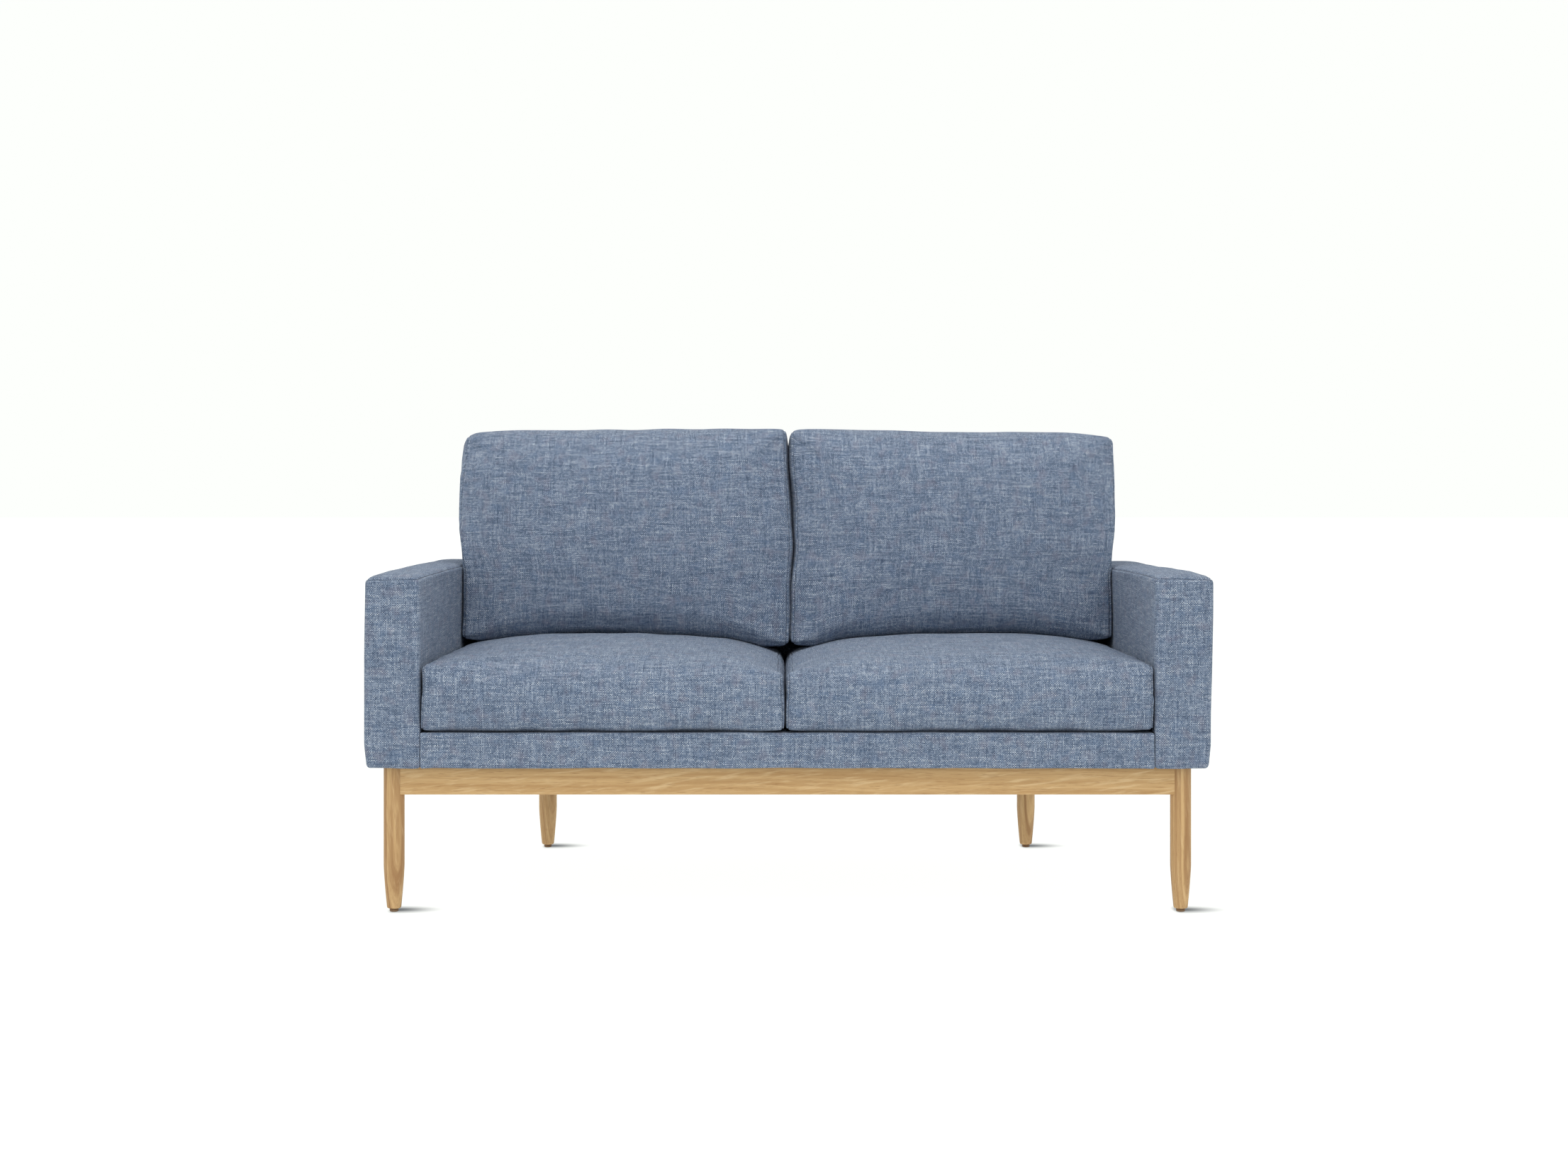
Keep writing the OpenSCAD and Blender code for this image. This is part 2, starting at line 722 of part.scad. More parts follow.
module arm_padding(left) {
    color("gainsboro") mirrored(left) difference() {
        arm_form(cover_t);
        arm_front_post_form();
        arm_rear_post_form();
        arm_board_form();
        seat_side_rail_form();
        seat_front_rail_form(cope_gap);
        seat_rear_rail_form(cope_gap);
        bolt_holes();
    }
}

module left_arm_front_post() { arm_front_post(true); }
module left_arm_rear_post() { arm_rear_post(true); }
module left_arm_board() { arm_board(true); }
module left_arm_padding() { arm_padding(true); }
module left_arm_cover() { arm_cover(true); }
module left_arm_top_panel() { arm_top_panel(true); }
module right_arm_front_post() { arm_front_post(false); }
module right_arm_rear_post() { arm_rear_post(false); }
module right_arm_board() { arm_board(false); }
module right_arm_padding() { arm_padding(false); }
module right_arm_cover() { arm_cover(false); }
module right_arm_top_panel() { arm_top_panel(false); }

// The back

// A leaning slab between two depths from the back's front face, and between two heights
module lean_slab(x0, x1, d0, d1, z0, z1) {
    along_x(x0, x1) polygon([
        [shell_front_y(z0) + d0, z0], [shell_front_y(z0) + d1, z0],
        [shell_front_y(z1) + d1, z1], [shell_front_y(z1) + d0, z1]]);
}

module left_back_post() { mirror([1, 0, 0]) right_back_post(); }

module right_back_post() {
    color("wheat") difference() {
        lean_slab(back_post_x, back_post_x + post_t, back_post_front, back_post_front + back_post_d,
            frame_z, back_frame_top);
        seat_rear_rail_form();
    }
}

module centre_back_post() {
    color("wheat") difference() {
        lean_slab(-post_t / 2, post_t / 2, back_post_front, back_post_front + back_post_d,
            frame_z, back_frame_top - back_rail_h);
        seat_rear_rail_form();
    }
}

// A rail between the back posts
module back_rail(x0, x1, z0) {
    lean_slab(x0, x1, back_post_front + back_post_d - back_rail_t, back_post_front + back_post_d,
        z0, z0 + back_rail_h);
}

module back_top_rail() {
    color("wheat") back_rail(-back_post_x, back_post_x, back_frame_top - back_rail_h);
}

module back_lower_rail() {
    color("wheat") for (side = [0, 1]) mirror([side, 0, 0])
        back_rail(post_t / 2, back_post_x, deck_top);
}

// Webbing bands across the front of the posts
module back_webbing() {
    color("olive") for (i = [0:webbing_count - 1]) {
        z = webbing_first_z + (webbing_last_z - webbing_first_z) * i / (webbing_count - 1);
        lean_slab(-back_post_x - post_t, back_post_x + post_t,
            back_post_front - cover_t, back_post_front - layer_gap, z - webbing_w / 2, z + webbing_w / 2);
    }
}

// Section of the back in Y and Z, drawn in by inset, down to a height z0
function back_section(inset, z0) =
    let (r = shell_edge_r, top = shell_top,
        c_front = [shell_front_y(top - r) + r / cos(lean), top - r],
        c_rear = [shell_rear_y(top - r) - r / cos(lean), top - r])
    concat(
        [[shell_front_y(z0) + inset / cos(lean), z0], [shell_rear_y(z0) - inset / cos(lean), z0]],
        arc(c_rear, r - inset, -lean, 90),
        arc(c_front, r - inset, 90, 180 - lean));

// The back's outer form, or with an inset the space that its cover leaves inside
module back_form(inset, z0) {
    intersection() {
        along_x(-arm_in_x, arm_in_x) polygon(back_section(inset, z0));
        along_y(front_y, rear_y + overrun) polygon(concat(
            [[-arm_in_x + inset, z0 - overrun], [arm_in_x - inset, z0 - overrun]],
            arc([arm_in_x - shell_corner_r, shell_top - shell_corner_r], shell_corner_r - inset, 0, 90),
            arc([-arm_in_x + shell_corner_r, shell_top - shell_corner_r], shell_corner_r - inset, 90, 180)));
    }
}

// Everything in front of the outside back panel
module front_of_panel() {
    lean_slab(-half_w, half_w, -shell_t, shell_t - back_panel_t,
        base_top - 2 * overrun, shell_top + 2 * overrun);
}

module inside_back_cover() {
    color("lightsteelblue") intersection() {
        difference() {
            back_form(0, deck_top);
            translate([0, 0, -overrun]) back_form(cover_t, deck_top);
            back_form(cover_t, deck_top);
        }
        front_of_panel();
    }
}

module back_padding() {
    color("gainsboro") intersection() {
        back_form(cover_t, deck_top);
        lean_slab(-half_w, half_w, cover_t, back_post_front - cover_t - layer_gap,
            deck_top - overrun, shell_top + overrun);
    }
}

module outside_back_panel() {
    color("steelblue") difference() {
        back_form(0, base_top);
        front_of_panel();
    }
}

// The loose cushions

// A plan outline with round corners and drawn-in sides. Each side has its own inset:
// insets are [left, right, front, rear], and swell moves the right side out
side_points = 5;
corner_points = 4;
function side_draw(s) = cushion_draw * 4 * s * (1 - s);
function plan(w, d, r, insets, swell) =
    let (x0 = insets[0], x1 = w - insets[1], y0 = insets[2], y1 = d - insets[3],
        steps = side_points + 1,
        raw = concat(
            arc([x0 + r, y0 + r], r, 180, 270, corner_points),
            [for (i = [1:side_points]) let (s = i / steps)
                [x0 + r + (x1 - x0 - 2 * r) * s, y0 + side_draw(s)]],
            arc([x1 - r, y0 + r], r, 270, 360, corner_points),
            [for (i = [1:side_points]) let (s = i / steps)
                [x1 - (swell > 0 ? 0 : side_draw(s)), y0 + r + (y1 - y0 - 2 * r) * s]],
            arc([x1 - r, y1 - r], r, 0, 90, corner_points),
            [for (i = [1:side_points]) let (s = i / steps)
                [x1 - r - (x1 - x0 - 2 * r) * s, y1 - side_draw(s)]],
            arc([x0 + r, y1 - r], r, 90, 180, corner_points),
            [for (i = [1:side_points]) let (s = i / steps)
                [x0 + side_draw(s), y1 - r - (y1 - y0 - 2 * r) * s]]))
    [for (p = raw)
        [p.x + swell * lookup(p.y / d, swell_shares) * max(0, (p.x - w / 2) / (w / 2)), p.y]];

// Share of the crown at a place in the plan
function crown_share(p, w, d) =
    max(0, 1 - pow(abs(2 * p.x / w - 1), crown_power)) * max(0, 1 - pow(abs(2 * p.y / d - 1), crown_power));

// Angles of the rings round the top edge, and sizes of the rings over the crown
roll_angles = [0, 25, 50, 72, 90];
roll_height_share = 0.34;
all_sides = [1, 1, 1, 1];
cap_shares = [0.88, 0.7, 0.48, 0.24];

// A cushion on its flat bottom. rolls are the top edge's roundings at [left, right, front,
// rear], drop lowers the edge at its left side, and swell moves its right side out
module cushion(w, d, h, r, crown, rolls, drop, swell) {
    roll_h = min(h * roll_height_share, max(rolls));
    bottom = seat_bottom_roll;
    function edge_z(p) = h - drop * (1 - min(1, p.x / w));
    function ring(insets, z, top, share) = [
        for (p = plan(w, d, r, insets, swell))
            let (q = [w / 2, d / 2] + share * (p - [w / 2, d / 2]))
            [q.x, q.y, top < 0 ? z : edge_z(q) - roll_h * (1 - top) + crown * crown_share(q, w, d) * top]];
    rings = concat(
        [for (a = [90, 45, 0]) ring(bottom * (1 - cos(a)) * all_sides, bottom * (1 - sin(a)), -1, 1)],
        [for (a = roll_angles) ring(rolls * (1 - cos(a)), 0, sin(a), 1)],
        [for (s = cap_shares) ring(rolls, 0, 1, s)]);
    n = len(rings[0]);
    last = len(rings) - 1;
    mid = [w / 2, d / 2];
    points = concat(
        [[mid.x, mid.y, 0]],
        [for (one = rings, p = one) p],
        [[mid.x, mid.y, edge_z(mid) + crown * crown_share(mid, w, d)]]);
    faces = concat(
        [for (i = [0:n - 1]) [0, 1 + i, 1 + (i + 1) % n]],
        [for (k = [0:last - 1], i = [0:n - 1])
            let (a = 1 + k * n + i, b = 1 + k * n + (i + 1) % n) [a, a + n, b]],
        [for (k = [0:last - 1], i = [0:n - 1])
            let (a = 1 + k * n + i, b = 1 + k * n + (i + 1) % n) [b, a + n, b + n]],
        [for (i = [0:n - 1])
            let (a = 1 + last * n + i, b = 1 + last * n + (i + 1) % n) [a, 1 + (last + 1) * n, b]]);
    polyhedron(points, faces);
}

seat_w = seat_x1 - seat_x0;
seat_d = seat_rear_y - front_y;
// Height of a seat cushion's top over its middle, at a place y
function seat_top_z(y) =
    seat_z0 + seat_edge_h - seat_split_drop / 2
    + seat_crown * crown_share([seat_w / 2, y - front_y], seat_w, seat_d);
// The back cushion's bottom slopes with the lean and clears the highest place under it
back_front_y = cushion_rear_y(seat_top_z(seat_rear_y)) - back_cushion_t / cos(lean);
rest_steps = 40;
back_rest_z = max([for (i = [0:rest_steps])
    let (y = back_front_y + (seat_rear_y - back_front_y) * i / rest_steps)
    seat_top_z(y) + (y - back_front_y) * tan(lean)]) + soft_gap;
// The lower rear edge of the back cushion: on its sloping bottom and on the shell's face
back_origin_z = back_rest_z - back_cushion_t * sin(lean);
back_origin_y = cushion_rear_y(back_origin_z);

module seat_cushion(left) {
    color("cornflowerblue") mirrored(left) translate([seat_x0, front_y, seat_z0])
        cushion(seat_w, seat_d, seat_edge_h, seat_corner_r, seat_crown,
            [seat_edge_roll, seat_edge_roll, seat_front_roll, seat_edge_roll], seat_split_drop, 0);
}

module back_cushion(left) {
    color("royalblue") mirrored(left)
        translate([back_x0, back_origin_y, back_origin_z]) rotate([90 - lean, 0, 0])
            cushion(back_x1 - back_x0, back_cushion_h, back_cushion_t, back_corner_r, back_crown,
                [back_edge_roll, back_edge_roll, back_edge_roll, back_top_roll], 0, back_swell);
}

module left_seat_cushion() { seat_cushion(true); }
module right_seat_cushion() { seat_cushion(false); }
module left_back_cushion() { back_cushion(true); }
module right_back_cushion() { back_cushion(false); }

base_front_rail();
base_rear_rail();
base_left_rail();
base_right_rail();
front_left_leg();
front_right_leg();
rear_left_leg();
rear_right_leg();
front_left_glide();
front_right_glide();
rear_left_glide();
rear_right_glide();
corner_blocks();
base_bolts();
base_washers();
seat_front_rail();
seat_rear_rail();
seat_left_rail();
seat_right_rail();
seat_centre_brace();
spring_clips();
zigzag_springs();
spring_tie_wires();
deck_pad();
deck_cover();
dust_cover();
front_border_padding();
front_border_cover();
left_arm_front_post();
left_arm_rear_post();
left_arm_board();
left_arm_padding();
left_arm_cover();
left_arm_top_panel();
right_arm_front_post();
right_arm_rear_post();
right_arm_board();
right_arm_padding();
right_arm_cover();
right_arm_top_panel();
left_back_post();
right_back_post();
centre_back_post();
back_top_rail();
back_lower_rail();
back_webbing();
back_padding();
inside_back_cover();
outside_back_panel();
left_seat_cushion();
right_seat_cushion();
left_back_cushion();
right_back_cushion();
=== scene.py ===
"""High back settee: oak base, upholstered body and four loose cushions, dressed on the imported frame."""
import json
import logging
import math
from collections.abc import Callable, Sequence
from dataclasses import dataclass, field
from enum import Enum
from typing import ClassVar

import bmesh
import bpy
import numpy as np
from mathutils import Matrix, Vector
from mathutils.bvhtree import BVHTree

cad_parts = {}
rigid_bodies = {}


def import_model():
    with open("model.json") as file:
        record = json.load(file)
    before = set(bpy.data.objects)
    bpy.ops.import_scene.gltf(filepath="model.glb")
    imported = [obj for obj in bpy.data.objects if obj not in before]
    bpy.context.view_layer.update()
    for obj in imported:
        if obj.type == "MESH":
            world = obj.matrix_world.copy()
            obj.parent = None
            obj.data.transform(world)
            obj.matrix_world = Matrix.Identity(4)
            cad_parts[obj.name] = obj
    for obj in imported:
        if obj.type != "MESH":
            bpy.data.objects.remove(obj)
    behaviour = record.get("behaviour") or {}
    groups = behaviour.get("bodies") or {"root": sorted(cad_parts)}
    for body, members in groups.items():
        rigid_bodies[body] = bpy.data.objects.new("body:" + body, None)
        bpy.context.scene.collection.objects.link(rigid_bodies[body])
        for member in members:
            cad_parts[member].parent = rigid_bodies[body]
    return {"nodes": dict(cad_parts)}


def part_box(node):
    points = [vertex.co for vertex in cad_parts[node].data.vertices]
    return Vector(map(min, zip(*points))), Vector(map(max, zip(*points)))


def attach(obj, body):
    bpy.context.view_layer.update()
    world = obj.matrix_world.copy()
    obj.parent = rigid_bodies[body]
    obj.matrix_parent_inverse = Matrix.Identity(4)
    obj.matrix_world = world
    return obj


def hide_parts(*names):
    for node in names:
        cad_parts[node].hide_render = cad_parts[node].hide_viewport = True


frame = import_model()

log = logging.getLogger("settee")
MM = 0.001
WEAVE = "weave"
SEAM = "seam"
ROOT = "settee"
CRISP = math.radians(40)
Piece = bpy.types.Object
Material = bpy.types.Material
Mesh = bpy.types.Mesh
Span = tuple[float, float]
Point = tuple[float, float, float]
Colour = tuple[float, float, float]
Curve = Sequence[Span]
Bend = Callable[[np.ndarray], np.ndarray]


# Node trees

class Value:
    """A node socket that can be used in Python arithmetic."""

    def __init__(self, tree: "Tree", socket: bpy.types.NodeSocket) -> None:
        """Keeps the tree and the socket."""
        self.tree = tree
        self.socket = socket

    def maths(self, operation: str, *others: "Value | float") -> "Value":
        """Adds a Math node whose first operand is this value."""
        return self.tree.maths(operation, self, *others)

    def __add__(self, other: "Value | float") -> "Value":
        """self + other."""
        return self.maths("ADD", other)

    __radd__ = __add__

    def __mul__(self, other: "Value | float") -> "Value":
        """self * other."""
        return self.maths("MULTIPLY", other)

    __rmul__ = __mul__

    def __sub__(self, other: "Value | float") -> "Value":
        """self - other."""
        return self.maths("SUBTRACT", other)

    def __rsub__(self, other: float) -> "Value":
        """other - self."""
        return self.tree.maths("SUBTRACT", other, self)

    def __truediv__(self, other: "Value | float") -> "Value":
        """self / other."""
        return self.maths("DIVIDE", other)

    def __pow__(self, other: float) -> "Value":
        """self to a power."""
        return self.maths("POWER", other)

    def __mod__(self, other: float) -> "Value":
        """The remainder, which is never negative."""
        return self.maths("FLOORED_MODULO", other)

    def floor(self) -> "Value":
        """The whole number below."""
        return self.maths("FLOOR")

    def step(self, low: float, high: float) -> "Value":
        """A smooth step from 0 at low to 1 at high."""
        inputs = {"Value": self, "From Min": low, "From Max": high}
        return self.tree.value("ShaderNodeMapRange", {"interpolation_type": "SMOOTHSTEP"}, inputs)


class Tree:
    """A node tree, with one way to add a node."""

    def __init__(self, group: bpy.types.NodeTree) -> None:
        """Empties the tree.

        Args:
            group: The tree's nodes and links.
        """
        self.nodes = group.nodes
        self.links = group.links
        self.nodes.clear()

    def node(self, kind: str, settings: dict | None = None, inputs: dict | None = None) -> bpy.types.Node:
        """Adds a node.

        Args:
            kind: The node's type.
            settings: Its properties, with a ramp's colours under "stops".
            inputs: The value or link of each socket, by name or number.

        Returns:
            The node.
        """
        node = self.nodes.new(kind)
        for key, setting in (settings or {}).items():
            if key == "stops":
                self._set_stops(node.color_ramp, setting)
            else:
                setattr(node, key, setting)
        for key, given in (inputs or {}).items():
            if isinstance(given, Value):
                self.links.new(given.socket, node.inputs[key])
            else:
                node.inputs[key].default_value = given
        return node

    @staticmethod
    def _set_stops(ramp: bpy.types.ColorRamp, stops: Sequence[tuple[float, Colour]]) -> None:
        """Sets a ramp's places and colours.

        Args:
            ramp: The ramp, with two stops at first.
            stops: The place and the colour of each stop.
        """
        while len(ramp.elements) < len(stops):
            ramp.elements.new(0.5)
        for element, (place, colour) in zip(ramp.elements, stops):
            element.position = place
            element.color = (*colour, 1.0)

    def value(
        self, kind: str, settings: dict | None = None, inputs: dict | None = None, output: int | str = 0
    ) -> Value:
        """Adds a node and returns one of its outputs."""
        return Value(self, self.node(kind, settings, inputs).outputs[output])

    def maths(self, operation: str, *terms: Value | float) -> Value:
        """Adds a Math node."""
        return self.value("ShaderNodeMath", {"operation": operation}, dict(enumerate(terms)))

    def vector(self, x: Value | float, y: Value | float, z: Value | float) -> Value:
        """Joins three numbers into a vector."""
        return self.value("ShaderNodeCombineXYZ", inputs={"X": x, "Y": y, "Z": z})


class Surface(Tree):
    """A material's node tree."""

    def __init__(self, name: str) -> None:
        """Starts an empty tree in a new material.

        Args:
            name: The material's name.
        """
        self.material = bpy.data.materials.new(name)
        self.material.use_nodes = True
        super().__init__(self.material.node_tree)

    def parts(self, vector: Value) -> tuple[Value, Value, Value]:
        """Splits a vector into its three numbers."""
        node = self.node("ShaderNodeSeparateXYZ", inputs={"Vector": vector})
        return tuple(Value(self, node.outputs[i]) for i in range(3))

    def places(self) -> Value:
        """The place on the object, in its own coordinates."""
        return self.value("ShaderNodeTexCoord", output="Object")

    def noise(self, at: Value, scale: float = 1.0, detail: float = 1.0, roughness: float = 0.5) -> Value:
        """Smooth noise from 0 to 1."""
        inputs = {"Vector": at, "Scale": scale, "Detail": detail, "Roughness": roughness}
        return self.value("ShaderNodeTexNoise", inputs=inputs)

    def mix(self, share: Value | float, one: Value | Colour, other: Value | Colour) -> Value:
        """Mixes two colours."""
        pair = [c if isinstance(c, Value) else (*c, 1.0) for c in (one, other)]
        return self.value("ShaderNodeMix", {"data_type": "RGBA"}, {0: share, 6: pair[0], 7: pair[1]}, 2)

    def finish(
        self, base: dict, height: Value | None = None, depth: float = 0.0, strength: float = 1.0
    ) -> Material:
        """Adds the surface shader.

        Args:
            base: Values or links of the shader's sockets.
            height: Height for the bump, from 0 to 1.
            depth: The bump's depth in metres.
            strength: The bump's strength.

        Returns:
            The material.
        """
        if height is not None:
            bump = {"Height": height, "Distance": depth, "Strength": strength}
            base["Normal"] = self.value("ShaderNodeBump", inputs=bump)
        shader = self.value("ShaderNodeBsdfPrincipled", inputs=base)
        self.node("ShaderNodeOutputMaterial", inputs={"Surface": shader})
        return self.material


def linear(red: int, green: int, blue: int) -> Colour:
    """A screen colour from 0 to 255 as linear light."""
    shares = (red / 255, green / 255, blue / 255)
    return tuple(c / 12.92 if c <= 0.04045 else ((c + 0.055) / 1.055) ** 2.4 for c in shares)


# Finishes

@dataclass(frozen=True)
class Tweed:
    """Plain-weave tweed of slubby yarns: pale wefts over blue warps, with blue and mauve patches."""

    name: str = "tweed"
    pitch: float = 2.05 * MM
    slub: float = 46 * MM
    warp_slub: float = 52 * MM
    patch: float = 24 * MM
    sway: float = 1.6
    slubs: float = 0.62
    weft_tone: float = 0.27
    warp_tone: float = 0.11
    weft_streaks: float = 0.26
    warp_streaks: float = 0.24
    flecks: float = 0.26
    # painted shade: the dark colour painted into the hollows between yarns and into the seam grooves, in
    # place of their shade
    gap: Colour = linear(36, 45, 62)
    dark: Colour = linear(70, 84, 108)
    middle: Colour = linear(106, 122, 146)
    light: Colour = linear(146, 159, 180)
    bright: Colour = linear(204, 212, 223)
    blue: Colour = linear(86, 118, 158)
    mauve: Colour = linear(140, 132, 146)
    bump: float = 0.5 * MM

    def material(self) -> Material:
        """Weaves the yarns on the piece's own weave map.

        Returns:
            The material.
        """
        tree = Surface(self.name)
        cloth = tree.value("ShaderNodeUVMap", {"uv_map": WEAVE})
        sway = tree.noise(cloth, 1 / (40 * self.pitch), 0.0) * self.sway
        u, v, _ = tree.parts(cloth)
        warp_at, weft_at = u / self.pitch + sway, v / self.pitch - sway
        col, row = warp_at.floor(), weft_at.floor()
        round_warp, round_weft = self._round(warp_at - col), self._round(weft_at - row)
        weft_up = (col + row) % 2
        height = weft_up * round_weft * (0.4 + 0.6 * round_warp)
        height += (1 - weft_up) * round_warp * (0.4 + 0.6 * round_weft)
        tone = self._tones(tree, u / self.slub, v / self.warp_slub, col, row, weft_up)
        stops = [(0.2, self.dark), (0.44, self.middle), (0.62, self.light), (0.86, self.bright)]
        yarn = tree.value("ShaderNodeValToRGB", {"stops": stops}, {"Fac": tone})
        blues = tree.noise(cloth, 1 / self.patch)
        mauves = tree.noise(tree.vector(v, u, 3.0), 1 / self.patch)
        yarn = tree.mix(blues.step(0.5, 0.75) * 0.18, yarn, self.blue)
        yarn = tree.mix(mauves.step(0.5, 0.75) * 0.26, yarn, self.mauve)
        seam = tree.value("ShaderNodeAttribute", {"attribute_name": SEAM}, output="Fac").step(0.72, 1.0)
        base = {
            # painted shade: the base colour goes to the gap colour where the yarns dip and along the seams
            "Base Color": tree.mix(height.step(0.0, 0.5) * (1 - seam * 0.8), self.gap, yarn),
            "Roughness": 0.92,
            "Specular IOR Level": 0.2,
            "Sheen Weight": 0.08,
            "Sheen Roughness": 0.6,
        }
        return tree.finish(base, height * (1 - seam) + tone * 0.3, self.bump, 0.8)

    @staticmethod
    def _round(across: Value) -> Value:
        """The height of a round yarn at a share of the way across it."""
        offset = across * 2 - 1
        return 1 - offset * offset

    def _tones(self, tree: Surface, u: Value, v: Value, col: Value, row: Value, weft_up: Value) -> Value:
        """The tone of the upper yarn: its slubs, the streaks of yarn pairs, and flecks.

        Args:
            tree: The material's tree.
            u: The place along the wefts, in slubs.
            v: The place along the warps, in slubs.
            col: The warp's number.
            row: The weft's number.
            weft_up: Whether the weft lies above.

        Returns:
            The tone, mostly from 0 to 1.
        """
        weft = tree.noise(tree.vector(u, row * 3.71, 0.0)) * self.slubs + self.weft_tone
        warp = tree.noise(tree.vector(col * 5.23, v, 7.0)) * self.slubs + self.warp_tone
        weft_pair = tree.noise(tree.vector(u, (row * 0.5).floor() * 2.71, 2.0))
        warp_pair = tree.noise(tree.vector((col * 0.5).floor() * 4.37, v, 5.0))
        streaks = (weft_pair - 0.5) * self.weft_streaks + (warp_pair - 0.5) * self.warp_streaks
        crossing = {"Vector": tree.vector(col, row, 0.0)}
        fleck = tree.value("ShaderNodeTexWhiteNoise", {"noise_dimensions": "2D"}, crossing)
        return weft_up * weft + (1 - weft_up) * warp + streaks + (fleck - 0.5) * self.flecks


@dataclass(frozen=True)
class Oak:
    """Clear-lacquered oak whose grain runs along the piece's local X."""

    name: str
    turn: Point = (0.0, 0.0, 0.0)
    place: Point = (0.0, 0.0, 0.0)
    figure: float = 1.0
    honey: Colour = linear(206, 170, 120)
    amber: Colour = linear(182, 143, 94)
    pale: Colour = linear(222, 192, 146)
    pore: Colour = linear(146, 106, 64)
    bump: float = 0.08 * MM

    def material(self) -> Material:
        """Draws growth rings, ray flecks and pores.

        Returns:
            The material.
        """
        tree = Surface(self.name)
        inputs = {"Vector": tree.places(), "Rotation": self.turn, "Location": self.place}
        x, y, z = tree.parts(tree.value("ShaderNodeMapping", {"vector_type": "POINT"}, inputs))
        bend = tree.noise(tree.vector(x * 2.2, y * 9.0, z * 9.0), detail=2.0)
        across = y + z * 0.7 + bend * 0.035
        rings = tree.noise(tree.vector(x * 1.4, across * 190, z * 20), detail=4.0, roughness=0.62)
        rays = tree.vector((x + z * 1.6) * 14, (z * 1.2 - x * 0.16) * 150, bend * 5)
        rays = tree.noise(rays, detail=3.0, roughness=0.55)
        pores = tree.noise(tree.vector(x * 42, y * 1100, z * 1100)).step(0.6, 0.72)
        colour = tree.mix(rings.step(0.3, 0.7), self.amber, self.honey)
        colour = tree.mix(rays.step(0.5, 0.72) * (0.6 * self.figure), colour, self.pale)
        colour = tree.mix(pores * 0.5, colour, self.pore)
        rough = 0.5 + rings * 0.08 + pores * 0.12
        base = {"Base Color": colour, "Roughness": rough, "Specular IOR Level": 0.35}
        return tree.finish(base, rings * 0.4 - pores, self.bump, 0.5)


@dataclass(frozen=True)
class Plain:
    """A finish of one tone with fine grain, such as softwood, felt, cambric or steel."""

    name: str
    tone: Colour
    other: Colour
    grain: Point = (200.0, 200.0, 200.0)
    rough: float = 0.8
    metal: float = 0.0
    bump: float = 0.1 * MM
    ribs: float = 0.0

    def material(self) -> Material:
        """Mixes two tones by grain.

        Returns:
            The material.
        """
        tree = Surface(self.name)
        x, y, z = tree.parts(tree.places())
        gx, gy, gz = self.grain
        fine = tree.noise(tree.vector(x * gx, y * gy, z * gz), detail=3.0, roughness=0.6)
        tone = fine * 0.7 + tree.noise(tree.vector(x, y, z), 14.0, 2.0) * 0.3
        height = fine
        if self.ribs:
            height = fine * 0.4
            height += ((x * self.ribs) % 1.0).step(0.0, 0.5) * ((y * self.ribs) % 1.0).step(0.0, 0.5)
        base = {
            "Base Color": tree.mix(tone.step(0.3, 0.7), self.tone, self.other),
            "Roughness": self.rough + (tone - 0.5) * 0.2,
            "Metallic": self.metal,
        }
        return tree.finish(base, height, self.bump, 0.6)


def made(finish: Tweed | Oak | Plain) -> Material:
    """A field for a finish's material, made when the finishes are."""
    return field(default_factory=finish.material)


@dataclass(frozen=True)
class Finishes:
    """Every finish of the settee, made once."""

    tweed: Material = made(Tweed())
    rail: Material = made(Oak("oak_rail", place=(0.3, 0.2, 0.1)))
    rear_rail: Material = made(Oak("oak_rear_rail", place=(2.3, 1.2, 0.4)))
    left_rail: Material = made(Oak("oak_left_rail", (0, 0, -1.294)))
    right_rail: Material = made(Oak("oak_right_rail", (0, 0, 1.294), (3, 0, 0)))
    leg: Material = made(
        Oak("oak_leg", (0, math.pi / 2, 0), (0, 1.3, 0.2), figure=0.5, amber=linear(158, 118, 76))
    )
    softwood: Material = made(
        Plain("softwood", linear(214, 186, 142), linear(196, 160, 112), (6, 160, 160), rough=0.7)
    )
    felt: Material = made(
        Plain("felt", linear(206, 204, 198), linear(178, 176, 172), (700, 700, 700), rough=0.95)
    )
    cambric: Material = made(
        Plain("cambric", linear(34, 35, 38), linear(48, 49, 52), (900, 900, 900), rough=0.9, ribs=900.0)
    )
    webbing: Material = made(
        Plain(
            "webbing", linear(150, 128, 90), linear(112, 92, 62), (300, 300, 300), rough=0.9,
            bump=0.3 * MM, ribs=400.0,
        )
    )
    steel: Material = made(
        Plain(
            "zinc_steel", linear(178, 180, 184), linear(150, 152, 158), (900, 900, 900), rough=0.38,
            metal=1.0,
        )
    )
    spring: Material = made(
        Plain(
            "spring_steel", linear(92, 92, 96), linear(62, 62, 66), (500, 500, 500), rough=0.42,
            metal=1.0,
        )
    )
    glide: Material = made(
        Plain("brown_nylon", linear(132, 102, 72), linear(112, 84, 58), (400, 400, 400), rough=0.55)
    )
    thread: Material = made(Plain("thread", linear(70, 88, 118), linear(52, 68, 96), (900, 900, 900)))


# Meshes

def smooth(x: np.ndarray, low: float, high: float) -> np.ndarray:
    """A smooth step from 0 at low to 1 at high."""
    t = np.clip((x - low) / max(high - low, 1e-6), 0, 1)
    return t * t * (3 - 2 * t)


def along(x: np.ndarray, curve: Curve) -> np.ndarray:
    """Reads a curve of (place, value) points at x, with softened corners.

    Args:
        x: Where the curve is read.
        curve: Its points.

    Returns:
        The values.
    """
    places, values = np.array(curve, float).T
    spread = (places[-1] - places[0]) / (4 * len(places))
    return sum(np.interp(x + shift * spread, places, values) for shift in (-1, -0.5, 0, 0.5, 1)) / 5


